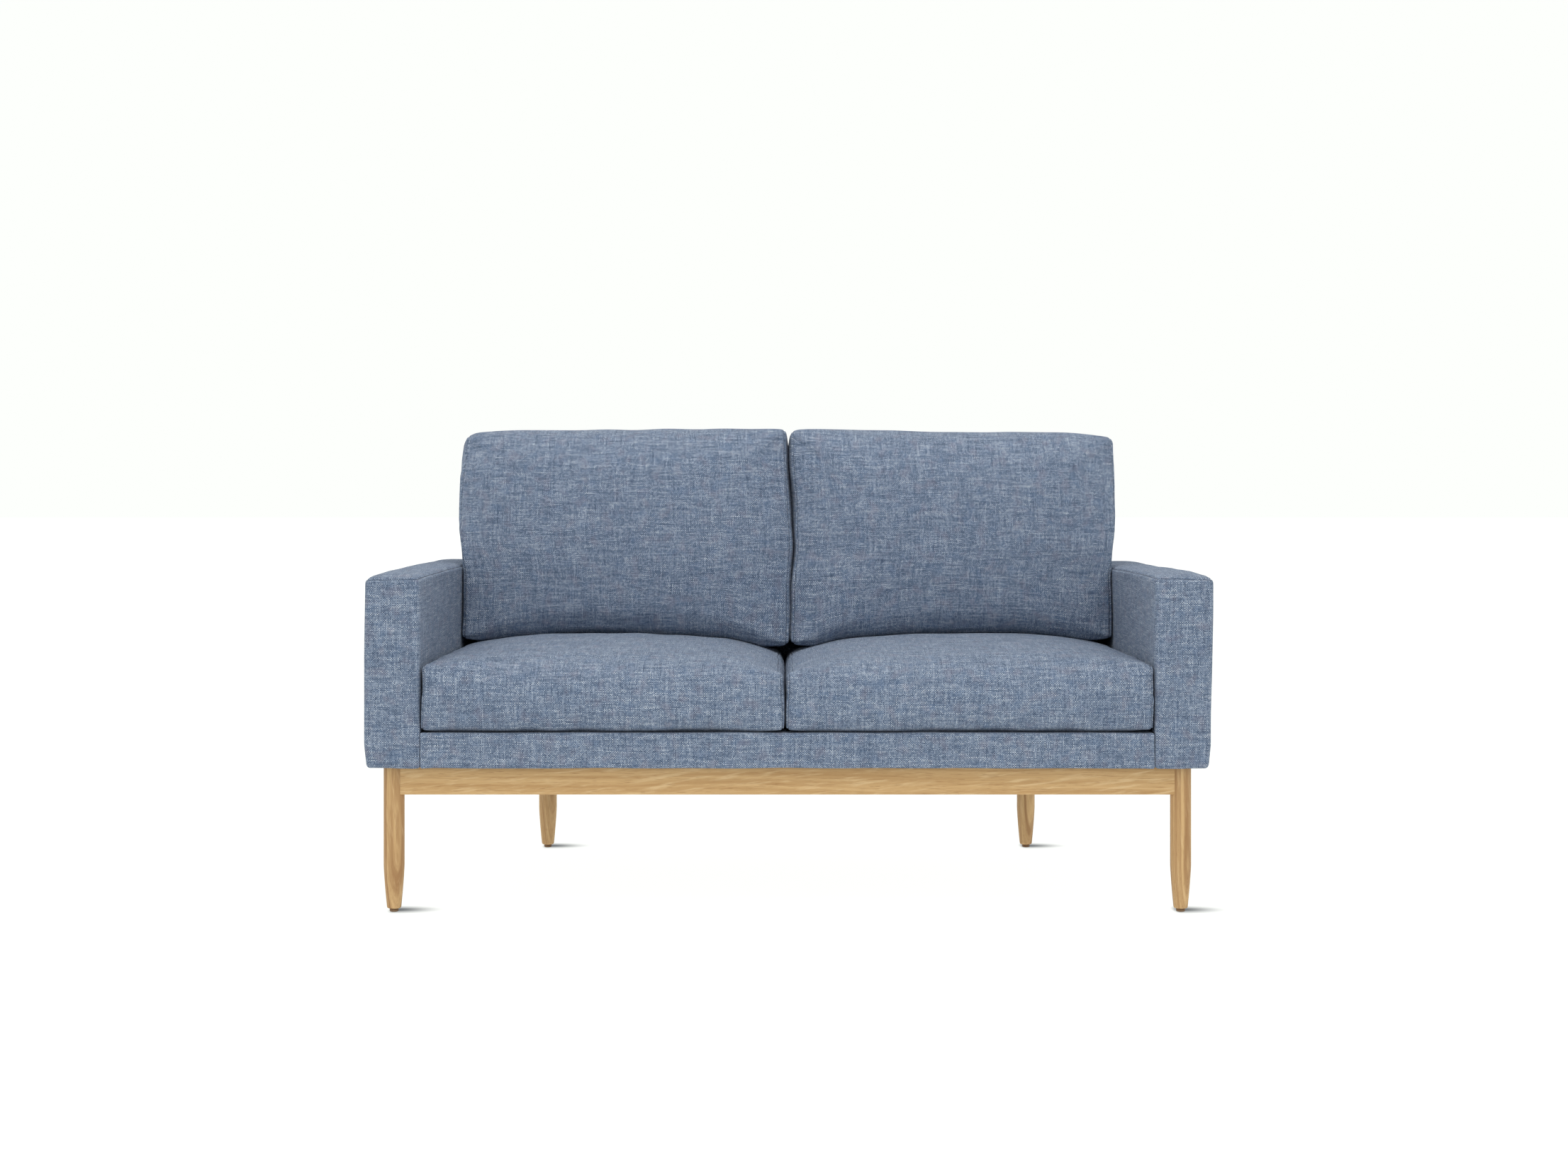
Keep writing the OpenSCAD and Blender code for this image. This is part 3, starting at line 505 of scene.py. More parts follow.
def ripple(points: np.ndarray, wavelength: float, seed: int, waves: int = 9) -> np.ndarray:
    """A smooth random field of about -1 to 1.

    Args:
        points: Places, one a row.
        wavelength: The usual length of a wave, in metres.
        seed: Sets the waves.
        waves: How many waves are added.

    Returns:
        The field at each place.
    """
    rng = np.random.default_rng(seed)
    ways = rng.normal(size=(waves, 3))
    ways *= (rng.uniform(0.7, 1.4, waves) / wavelength / np.linalg.norm(ways, axis=1))[:, None]
    phases = rng.uniform(0, 2 * math.pi, waves)
    return np.cos(2 * math.pi * points @ ways.T + phases).sum(1) / math.sqrt(waves)


def rounded(points: np.ndarray, size: np.ndarray, radii: np.ndarray) -> np.ndarray:
    """Rounds the edges of a block.

    Args:
        points: Places on a block from the origin to size.
        size: The block's size.
        radii: The radius along each axis, one row a point.

    Returns:
        The places on the rounded block.
    """
    core = np.clip(points, radii, size - radii)
    offset = (points - core) / radii
    length = np.maximum(np.linalg.norm(offset, axis=1), 1e-9)[:, None]
    return core + radii * offset / length


def coordinates(mesh: Mesh) -> np.ndarray:
    """Reads a mesh's vertex places.

    Args:
        mesh: The mesh.

    Returns:
        The places, one a row.
    """
    flat = np.empty(len(mesh.vertices) * 3)
    mesh.vertices.foreach_get("co", flat)
    return flat.reshape(-1, 3)


def place_vertices(mesh: Mesh, points: np.ndarray) -> None:
    """Writes a mesh's vertex places."""
    mesh.vertices.foreach_set("co", points.astype(np.float32).ravel())
    mesh.update()


def swell(piece: Piece, heights: np.ndarray) -> None:
    """Moves each point of a piece out along its normal.

    Args:
        piece: The piece.
        heights: How far each point moves.
    """
    mesh = piece.data
    normals = np.empty(len(mesh.vertices) * 3, np.float32)
    mesh.vertex_normals.foreach_get("vector", normals)
    place_vertices(mesh, coordinates(mesh) + normals.reshape(-1, 3).astype(float) * heights[:, None])


def new_piece(name: str, mesh: Mesh, finish: Material, crisp: bool = False) -> Piece:
    """Puts a mesh in the scene as a smoothly shaded piece with one finish.

    Args:
        name: The piece's name.
        mesh: Its mesh.
        finish: Its material.
        crisp: Whether its corners stay crisp.

    Returns:
        The piece.
    """
    piece = bpy.data.objects.new(name, mesh)
    bpy.context.scene.collection.objects.link(piece)
    mesh.materials.clear()
    mesh.materials.append(finish)
    mesh.polygons.foreach_set("use_smooth", [True] * len(mesh.polygons))
    if crisp:
        mesh.set_sharp_from_angle(angle=CRISP)
    return piece


def dress(
    piece: Piece, slot: str, *nodes: str, fill: float | None = None, flat: Span | None = None,
    rests_on: Sequence[str] = (), body: str = ROOT,
) -> Piece:
    """Hides the CAD nodes that a piece stands for, attaches it to its body, and reports it.

    Args:
        piece: The piece.
        slot: Its finish's slot. Not used.
        nodes: The CAD nodes that it stands for.
        fill: How full it is, for a padded piece. Not used.
        flat: Its flat size, for a stretched sheet. Not used.
        rests_on: What a sheet is stretched over. Not used.
        body: The body that it rides on.

    Returns:
        The piece.
    """
    if nodes:
        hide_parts(*nodes)
    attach(piece, body)
    log.info("%s: %d faces", piece.name, len(piece.data.polygons))
    return piece


# Soft forms

class Side(Enum):
    """The sides of a form, as the axis and the end they lie at."""

    LEFT = (0, 0)
    RIGHT = (0, 1)
    FRONT = (1, 0)
    REAR = (1, 1)
    UNDER = (2, 0)
    TOP = (2, 1)


class Wrap(Enum):
    """How one length of cloth goes round a form: the axis it goes round, then the sides in order."""

    OVER = (0, (Side.UNDER, Side.FRONT, Side.TOP, Side.REAR))
    AROUND = (2, (Side.LEFT, Side.FRONT, Side.RIGHT, Side.REAR))


@dataclass
class Form:
    """A closed six-sided form of quads, whose every point has a share of the width, depth and height."""

    name: str
    counts: tuple[int, int, int]
    wrap: Wrap = Wrap.OVER
    sewn: tuple[Side, ...] = ()
    crowd: float = 0.3
    cells: np.ndarray = field(init=False)
    faces: dict[Side, np.ndarray] = field(init=False)

    def __post_init__(self) -> None:
        """Numbers the points and lays out the faces of each side."""
        grid = np.stack(np.meshgrid(*(np.arange(n + 1) for n in self.counts), indexing="ij"), -1)
        skin = ((grid == 0) | (grid == np.array(self.counts))).any(-1)
        number = np.full(skin.shape, -1)
        number[skin] = np.arange(skin.sum())
        self.cells = grid[skin]
        self.faces = {}
        for side in Side:
            axis, end = side.value
            sheet = np.take(number, end * self.counts[axis], axis)
            quads = np.stack([sheet[:-1, :-1], sheet[1:, :-1], sheet[1:, 1:], sheet[:-1, 1:]], -1)
            faces_in = (axis == 1) == (end == 1)
            self.faces[side] = quads.reshape(-1, 4)[:, :: -1 if faces_in else 1]

    def shares(self) -> np.ndarray:
        """Each point's shares, a little crowded towards the edges."""
        t = self.cells / np.array(self.counts)
        return (1 - self.crowd) * t + self.crowd * (0.5 - 0.5 * np.cos(math.pi * t))

    def seam_points(self) -> np.ndarray:
        """Tells which points lie on the border of a sewn side.

        Returns:
            A truth value for each point.
        """
        on_edge = ((self.cells == 0) | (self.cells == np.array(self.counts))).sum(1) >= 2
        found = np.zeros(len(self.cells), bool)
        for axis, end in (side.value for side in self.sewn):
            found |= on_edge & (self.cells[:, axis] == end * self.counts[axis])
        return found

    def _weave(self, points: np.ndarray, shift: float) -> np.ndarray:
        """The weave map: cloth measured along its own length on the wrapped sides, flat on the others.

        Args:
            points: The form's shape.
            shift: Moves the pattern, so that no two pieces match.

        Returns:
            A pair for each corner of each face.
        """
        axis, order = self.wrap.value
        p_axis, q_axis = (1, 2) if axis == 0 else (1, 0)
        p_count, q_count = self.counts[p_axis], self.counts[q_axis]
        p, q = self.cells[:, p_axis], self.cells[:, q_axis]
        total = 2 * (p_count + q_count)
        steps = dict(zip(order, (p_count - p, p_count + q, p_count + q_count + p, total - q)))
        on_side = (q == 0, p == 0, q == q_count, p == p_count)
        table = np.full((self.counts[axis] + 1, total + 1, 3), np.nan)
        for step, here in zip(steps.values(), on_side):
            table[self.cells[here, axis], step[here]] = points[here]
        around = np.linalg.norm(np.diff(table, axis=1), axis=2).mean(0)
        across = np.linalg.norm(np.diff(table, axis=0), axis=2).mean(1)
        ring = np.concatenate([[0], np.cumsum(around)])
        run = np.concatenate([[0], np.cumsum(across)]) - across.sum() / 2
        pairs = []
        for side, faces in self.faces.items():
            if side in steps:
                pair = run[self.cells[faces, axis]], ring[steps[side][faces]]
                pair = pair if axis == 0 else pair[::-1]
            else:
                pair = [points[faces, i] for i in ((1, 2) if axis == 0 else (0, 1))]
            pairs.append(np.stack([pair[0] + shift, pair[1] + shift * 0.37], -1))
        return np.concatenate(pairs)

    def build(self, shape: Bend, finish: Material, shift: float) -> Piece:
        """Makes the piece.

        Args:
            shape: Turns the shares into places.
            finish: The cloth.
            shift: Moves the weave.

        Returns:
            The piece.
        """
        points = shape(self.shares())
        mesh = bpy.data.meshes.new(self.name)
        mesh.from_pydata(points.tolist(), [], np.concatenate(list(self.faces.values())).tolist())
        layer = mesh.uv_layers.new(name=WEAVE)
        layer.data.foreach_set("uv", self._weave(points, shift).ravel())
        seam = mesh.attributes.new(SEAM, "FLOAT", "POINT")
        seam.data.foreach_set("value", self.seam_points().astype(np.float32))
        mesh.update()
        return new_piece(self.name, mesh, finish)


def refine(piece: Piece) -> None:
    """Subdivides a piece once and keeps the result as its mesh.

    Args:
        piece: The piece.
    """
    modifier = piece.modifiers.new("refine", "SUBSURF")
    modifier.levels = modifier.render_levels = 1
    evaluated = piece.evaluated_get(bpy.context.evaluated_depsgraph_get())
    mesh = bpy.data.meshes.new_from_object(evaluated)
    piece.modifiers.clear()
    old = piece.data
    piece.data = mesh
    mesh.name = old.name
    bpy.data.meshes.remove(old)


def sew(piece: Piece, depth: float, seed: int, pucker: float = 0.5 * MM) -> None:
    """Draws the seams in and puckers the cloth beside them.

    Args:
        piece: A piece with seam values on its points.
        depth: How deep a seam lies.
        seed: Sets the puckers.
        pucker: Height of the puckers.
    """
    mesh = piece.data
    value = np.empty(len(mesh.vertices), np.float32)
    mesh.attributes[SEAM].data.foreach_get("value", value)
    points = coordinates(mesh)
    sewn = points[value > 0.95]
    move = -depth * value.astype(float) ** 2
    if len(sewn):
        tree = BVHTree.FromPolygons(sewn.tolist(), [(i, i, i) for i in range(len(sewn))])
        reach = 60 * MM
        distance = np.array([tree.find_nearest(p, reach)[3] or reach for p in points.tolist()], float)
        fade = np.exp(-distance / (12 * MM)) * smooth(distance, 0.0, 6 * MM)
        move += pucker * fade * ripple(points, 20 * MM, seed)
    swell(piece, move)


@dataclass(frozen=True)
class Blow:
    """Cloth simulation that fills a cover from inside."""

    pressure: float = 4.0
    frames: int = 20
    cap: float = 6 * MM
    quality: int = 5
    mass: float = 0.3
    tension: float = 25.0
    shear: float = 10.0
    bending: float = 0.4

    def fill(self, piece: Piece, held: np.ndarray) -> None:
        """Fills a cover and keeps the result as its mesh.

        Args:
            piece: The cover.
            held: Whether each point is held by a seam.
        """
        group = piece.vertex_groups.new(name="held")
        group.add(np.where(held)[0].tolist(), 1.0, "REPLACE")
        start = coordinates(piece.data)
        modifier = piece.modifiers.new("fill", "CLOTH")
        settings = modifier.settings
        settings.quality = self.quality
        settings.mass = self.mass
        settings.tension_stiffness = settings.compression_stiffness = self.tension
        settings.shear_stiffness = self.shear
        settings.bending_stiffness = self.bending
        settings.use_pressure = True
        settings.uniform_pressure_force = self.pressure
        settings.vertex_group_mass = group.name
        settings.effector_weights.gravity = 0
        modifier.point_cache.frame_start = 1
        modifier.point_cache.frame_end = self.frames
        scene = bpy.context.scene
        for step in range(1, self.frames + 1):
            scene.frame_set(step)
        evaluated = piece.evaluated_get(bpy.context.evaluated_depsgraph_get())
        moved = coordinates(evaluated.data) - start
        length = np.maximum(np.linalg.norm(moved, axis=1), 1e-9)[:, None]
        moved *= np.minimum(1.0, self.cap / length)
        piece.modifiers.clear()
        piece.vertex_groups.clear()
        scene.frame_set(1)
        place_vertices(piece.data, start + moved)


# Measured curves

LEFT_ARM_SEAM: Curve = ((-0.43, 0.595), (-0.3, 0.597), (-0.1, 0.5975), (0.1, 0.597), (0.4, 0.594))
RIGHT_ARM_SEAM: Curve = ((-0.43, 0.596), (-0.3, 0.5965), (-0.1, 0.5955), (0.05, 0.592), (0.4, 0.590))
LEFT_ARM_BULGE: Curve = ((0.26, 0.0), (0.45, -0.0005), (0.55, -0.0015), (0.6, -0.002))
RIGHT_ARM_BULGE: Curve = ((0.26, 0.0), (0.35, 0.001), (0.45, 0.0025), (0.53, 0.0045), (0.6, 0.005))
LEFT_OUTER: Curve = (
    (0.42, -0.6485), (0.594, -0.6490), (0.614, -0.6560), (0.656, -0.6625), (0.713, -0.6648),
    (0.770, -0.6625), (0.812, -0.6580), (0.841, -0.6560), (0.875, -0.6545),
)
LEFT_INNER: Curve = (
    (0.42, 0.0037), (0.554, 0.0052), (0.589, 0.0080), (0.635, 0.0122), (0.70, 0.0095),
    (0.764, 0.0052), (0.832, 0.0006), (0.875, -0.0005),
)
RIGHT_INNER: Curve = (
    (0.42, 0.0067), (0.554, 0.0082), (0.589, 0.0110), (0.635, 0.0152), (0.70, 0.0125),
    (0.764, 0.0090), (0.832, 0.0040), (0.875, 0.0035),
)
RIGHT_OUTER: Curve = (
    (0.42, 0.6485), (0.594, 0.6500), (0.614, 0.6630), (0.670, 0.6650), (0.784, 0.6630),
    (0.841, 0.6620), (0.875, 0.6600),
)
LEFT_TOP: Curve = (
    (-0.65, 0.860), (-0.606, 0.8655), (-0.467, 0.8650), (-0.346, 0.8675), (-0.115, 0.8680),
    (-0.035, 0.8685), (0.0, 0.8665),
)
RIGHT_TOP: Curve = (
    (0.0, 0.866), (0.034, 0.8695), (0.207, 0.8640), (0.346, 0.8615), (0.553, 0.8615), (0.65, 0.853),
)


# Body planes

@dataclass(frozen=True)
class Body:
    """The planes of the upholstered body, in metres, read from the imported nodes."""

    lean: float = math.radians(8)
    front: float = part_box("left_arm_cover")[0].y
    half_width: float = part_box("right_arm_cover")[1].x
    arm_inside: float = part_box("right_arm_cover")[0].x
    underside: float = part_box("right_arm_cover")[0].z
    arm_top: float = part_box("right_arm_top_panel")[1].z
    back_top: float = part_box("inside_back_cover")[1].z
    rear: float = 432.5 * MM
    thickness: float = 101 * MM
    deck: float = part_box("deck_cover")[1].z

    def back_rear(self, z: np.ndarray | float) -> np.ndarray | float:
        """Y of the back's rear face at a height."""
        return self.rear - (self.back_top - z) * math.tan(self.lean)

    def back_face(self, z: np.ndarray | float) -> np.ndarray | float:
        """Y of the back's front face at a height."""
        return self.back_rear(z) - self.thickness

    def leaning(self, points: np.ndarray) -> np.ndarray:
        """Leans upright places back with the rear face."""
        points[:, 1] += self.back_rear(points[:, 2])
        return points


# Loose cushions

def pillow(u: np.ndarray, v: np.ndarray, power: float) -> np.ndarray:
    """A crown of 1 in the middle that falls to 0 at the edges of two shares."""
    return (1 - np.abs(2 * u - 1) ** power) * (1 - np.abs(2 * v - 1) ** power)


def arched(share: np.ndarray) -> np.ndarray:
    """A full arch over a share, from 0 to 1 and back."""
    return np.sqrt(np.clip(np.sin(math.pi * share), 0, 1))


def top_under(tree: BVHTree, x: float, y: float, start: float = 0.7) -> float:
    """Height of a surface's top at a place, or 0 beside it."""
    hit = tree.ray_cast(Vector((x, y, start)), Vector((0, 0, -1)))[0]
    return 0.0 if hit is None else hit.z


@dataclass
class Cushion:
    """A loose cushion, sewn to a side panel at each end and filled."""

    kind: ClassVar[str]
    counts: ClassVar[tuple[int, int, int]]
    shift: ClassVar[float]
    fill: ClassVar[float]
    wavelength: ClassVar[float] = 110 * MM
    wave: ClassVar[float] = 0.9 * MM
    quick_swell: ClassVar[float] = 3 * MM
    seam_depth: ClassVar[float] = 2.2 * MM
    side: str
    body: Body
    seed: int

    @property
    def node(self) -> str:
        """The cushion's CAD node, whose name is also its body's."""
        return f"{self.side}_{self.kind}_cushion"

    def shape(self, shares: np.ndarray) -> np.ndarray:
        """Turns shares of the width, depth and height into places."""
        raise NotImplementedError

    def keep_within(self, points: np.ndarray) -> np.ndarray:
        """Keeps the cushion clear of what lies beside it."""
        raise NotImplementedError

    def build(self, finishes: Finishes) -> Piece:
        """Makes, fills, sews and dresses the cushion.

        Args:
            finishes: The settee's finishes.

        Returns:
            The cushion.
        """
        form = Form(f"{self.node}_cloth", self.counts, sewn=(Side.LEFT, Side.RIGHT))
        piece = form.build(self.shape, finishes.tweed, self.shift + self.seed)
        swell(piece, ripple(coordinates(piece.data), self.wavelength, self.seed) * self.wave)
        held = form.seam_points()
        Blow().fill(piece, held)
        refine(piece)
        sew(piece, self.seam_depth, self.seed + 5)
        place_vertices(piece.data, self.keep_within(coordinates(piece.data)))
        return dress(piece, "tweed", self.node, fill=self.fill, body=self.node)


@dataclass
class SeatCushion(Cushion):
    """A loose seat cushion with a waterfall front."""

    kind = "seat"
    counts = (74, 80, 20)
    shift = 1.3
    fill = 0.85
    x: Span
    front: float = -432.5 * MM
    edge: float = 116 * MM
    crown: float = 27 * MM
    arm_rise: Curve = ((0, 9 * MM), (0.35, 8 * MM), (0.75, 4 * MM), (1, 0.0))
    split_drop: float = 6 * MM
    draw: float = 1.5 * MM
    front_roll: float = 46 * MM
    corner_roll: float = 20 * MM
    arm_roll: float = 15 * MM
    split_roll: float = 36 * MM
    front_corner: float = 13 * MM
    rear_roll: float = 18 * MM
    lower_front_roll: float = 10 * MM
    lower_roll: float = 8 * MM
    gap: float = 0.5 * MM
    ease: float = 3 * MM

    def shape(self, shares: np.ndarray) -> np.ndarray:
        """Gives the form a little smaller, so that filling brings it to size.

        Args:
            shares: Each point's shares.

        Returns:
            Its places.
        """
        points = self._full(shares)
        middle = (points.min(0) + points.max(0)) / 2
        half = (points.max(0) - points.min(0)) / 2
        ease = np.array([0.3, 1.0, 1.0]) * self.ease
        return middle + (points - middle) * (1 - ease / half)

    def _full(self, shares: np.ndarray) -> np.ndarray:
        """Gives the cushion its crowned form.

        Args:
            shares: Each point's shares.

        Returns:
            Its places.
        """
        a, b, c = shares.T
        depth = self.body.back_face(self.body.deck) - self.gap - self.front
        size = np.array([self.x[1] - self.x[0], depth, self.edge])
        to_arm = 1 - a if self.side == "left" else a
        points = rounded(shares * size, size, self._radii(a, b, c))
        share = points[:, 2] / size[2]
        rise = self.crown * pillow(a, b, 2.4) + along(b, self.arm_rise) * to_arm
        points[:, 2] += (rise - self.split_drop * (1 - to_arm)) * share**2
        waist = np.sin(math.pi * np.clip(share, 0, 1))
        points[:, 1] += self.draw * (1 - 2 * b) * (1 - waist) * (np.abs(2 * b - 1) > 0.9)
        return points + np.array([self.x[0], self.front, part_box(self.node)[0].z])

    def _radii(self, a: np.ndarray, b: np.ndarray, c: np.ndarray) -> np.ndarray:
        """The radii of the edges: full along the front, tight beside the arm.

        Args:
            a: Shares of the width.
            b: Shares of the depth.
            c: Shares of the height.

        Returns:
            A radius for each axis of each point.
        """
        side_roll = np.where((a < 0.5) == (self.side == "left"), self.arm_roll, self.split_roll)
        at_front = smooth(1 - b, 0.86, 1.0)
        roll = self.corner_roll + (self.front_roll - self.corner_roll) * arched(a)
        upper = c > 0.5
        beside = side_roll * (1 - at_front)
        front_fall = roll * 0.86 - 4 * MM
        radii = [
            np.where(upper, beside + self.front_corner * at_front, self.lower_roll),
            np.where(b < 0.5, np.where(upper, roll, self.lower_front_roll), self.rear_roll),
            np.where(upper, beside + front_fall * at_front, self.lower_roll),
        ]
        return np.stack(radii, 1)

    def keep_within(self, points: np.ndarray) -> np.ndarray:
        """Keeps the cushion clear of the deck, the arm, its neighbour and the back.

        Args:
            points: The cushion's places.

        Returns:
            The places, moved clear.
        """
        points[:, 0] = np.clip(points[:, 0], *self.x)
        points[:, 2] = np.maximum(points[:, 2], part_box(self.node)[0].z)
        points[:, 1] = np.minimum(points[:, 1], self.body.back_face(points[:, 2]) - self.gap)
        return points


@dataclass
class BackCushion(Cushion):
    """A loose back cushion that leans on the back and stands on the seat cushion."""

    kind = "back"
    counts = (74, 28, 56)
    shift = 4.1
    fill = 0.75
    seat: Piece
    outer: Curve
    inner: Curve
    top: Curve
    width: float = 640 * MM
    thickness: float = 206 * MM
    height: float = 424 * MM
    crown: float = 24 * MM
    top_roll: float = 62 * MM
    edge_roll: float = 30 * MM
    outer_corner: float = 32 * MM
    inner_corner: float = 15 * MM
    lower_corner: float = 18 * MM
    rear_roll: float = 18 * MM
    lower_front_roll: float = 15 * MM
    lower_roll: float = 12 * MM
    lift_limits: Span = (-24 * MM, 30 * MM)
    lift_fade: Span = (30 * MM, 150 * MM)
    sole: float = 40 * MM
    arm_swell: float = 10 * MM
    swell_height: Span = (1 * MM, 100 * MM)
    gap: float = 0.5 * MM

    @property
    def start(self) -> Span:
        """Y and Z of the lower rear edge."""
        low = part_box(self.node)[0].z
        return self.body.back_face(low) - self.gap, low

    def shape(self, shares: np.ndarray) -> np.ndarray:
        """Gives the cushion its form, with the edges that the photograph shows.

        Args:
            shares: Each point's shares.

        Returns:
            Its places.
        """
        a, b, c = shares.T
        start_y, low = self.start
        cos, sin = math.cos(self.body.lean), math.sin(self.body.lean)
        size = np.array([self.width, self.thickness, self.height])
        x, y, high = rounded(shares * size, size, self._radii(a, b, c)).T
        crown = self.crown * pillow(a, c, 2.6)
        forward = self.thickness - y + crown * (1 - y / self.thickness) ** 2
        z = low + high * cos + forward * sin
        ends = (along(z, self.outer), along(z, self.inner))
        left, right = ends if self.side == "left" else ends[::-1]
        x = left + (right - left) * (x / self.width)
        reach = low + self.height * cos + (self.thickness - self.top_roll) * sin
        high = high + (along(x, self.top) - reach) / cos * smooth(high / self.height, 0.35, 1.0)
        return np.stack([x, start_y + high * sin - forward * cos, low + high * cos + forward * sin], 1)

    def _radii(self, a: np.ndarray, b: np.ndarray, c: np.ndarray) -> np.ndarray:
        """The radii of the edges: full along the top, tighter at the corners.

        Args:
            a: Shares of the width.
            b: Shares of the depth.
            c: Shares of the height.

        Returns:
            A radius for each axis of each point.
        """
        upper, front = c > 0.5, b < 0.5
        middle = arched(a)
        roll = self.edge_roll + (self.top_roll - self.edge_roll) * middle
        outer = (a < 0.5) == (self.side == "left")
        corner = np.where(outer, self.outer_corner, self.inner_corner)
        front_roll = corner * (1 - middle) + roll * 0.7 * middle
        radii = [
            np.where(upper, corner, self.lower_corner),
            np.where(front, np.where(upper, roll, self.lower_front_roll), self.rear_roll),
            np.where(upper, np.where(front, front_roll, self.rear_roll), self.lower_roll),
        ]
        return np.stack(radii, 1)

    def keep_within(self, points: np.ndarray) -> np.ndarray:
        """Rests the cushion on the seat cushion and keeps it off the back and the arm.

        Args:
            points: The cushion's places.

        Returns:
            The places, moved clear.
        """
        body = self.body
        tree = BVHTree.FromObject(self.seat, bpy.context.evaluated_depsgraph_get())
        x_span, y_span = self._rest_area()
        x, y = np.clip(points[:, 0], *x_span), np.clip(points[:, 1], *y_span)
        height = points[:, 2] - self._bottom(points[:, 1])
        lift = self.gap - self._bottom(y)
        for i in np.where(height < self.lift_fade[1])[0]:
            lift[i] += top_under(tree, x[i], y[i])
        points[:, 2] += np.clip(lift, *self.lift_limits) * (1 - smooth(height, *self.lift_fade))
        for i in np.where((height < self.sole) & (points[:, 1] < y_span[1]))[0]:
            points[i, 2] = max(points[i, 2], top_under(tree, points[i, 0], points[i, 1]) + self.gap)
        above_arm = smooth(points[:, 2], *(body.arm_top + height for height in self.swell_height))
        limit = body.arm_inside - self.gap + self.arm_swell * above_arm
        points[:, 0] = np.clip(points[:, 0], -limit, limit)
        points[:, 1] = np.minimum(points[:, 1], body.back_face(points[:, 2]) - self.gap)
        return points

    def _bottom(self, y: np.ndarray) -> np.ndarray:
        """Height of the cushion's flat bottom, which tips forward with the lean."""
        start_y, low = self.start
        return low + (start_y - y) * math.tan(self.body.lean)

    def _rest_area(self) -> tuple[Span, Span]:
        """The middle of the seat cushion's top, clear of its rolled edges."""
        low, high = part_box(f"{self.side}_seat_cushion")
        return (low.x + 55 * MM, high.x - 55 * MM), (low.y + 60 * MM, high.y - 40 * MM)


# Stitches and staples

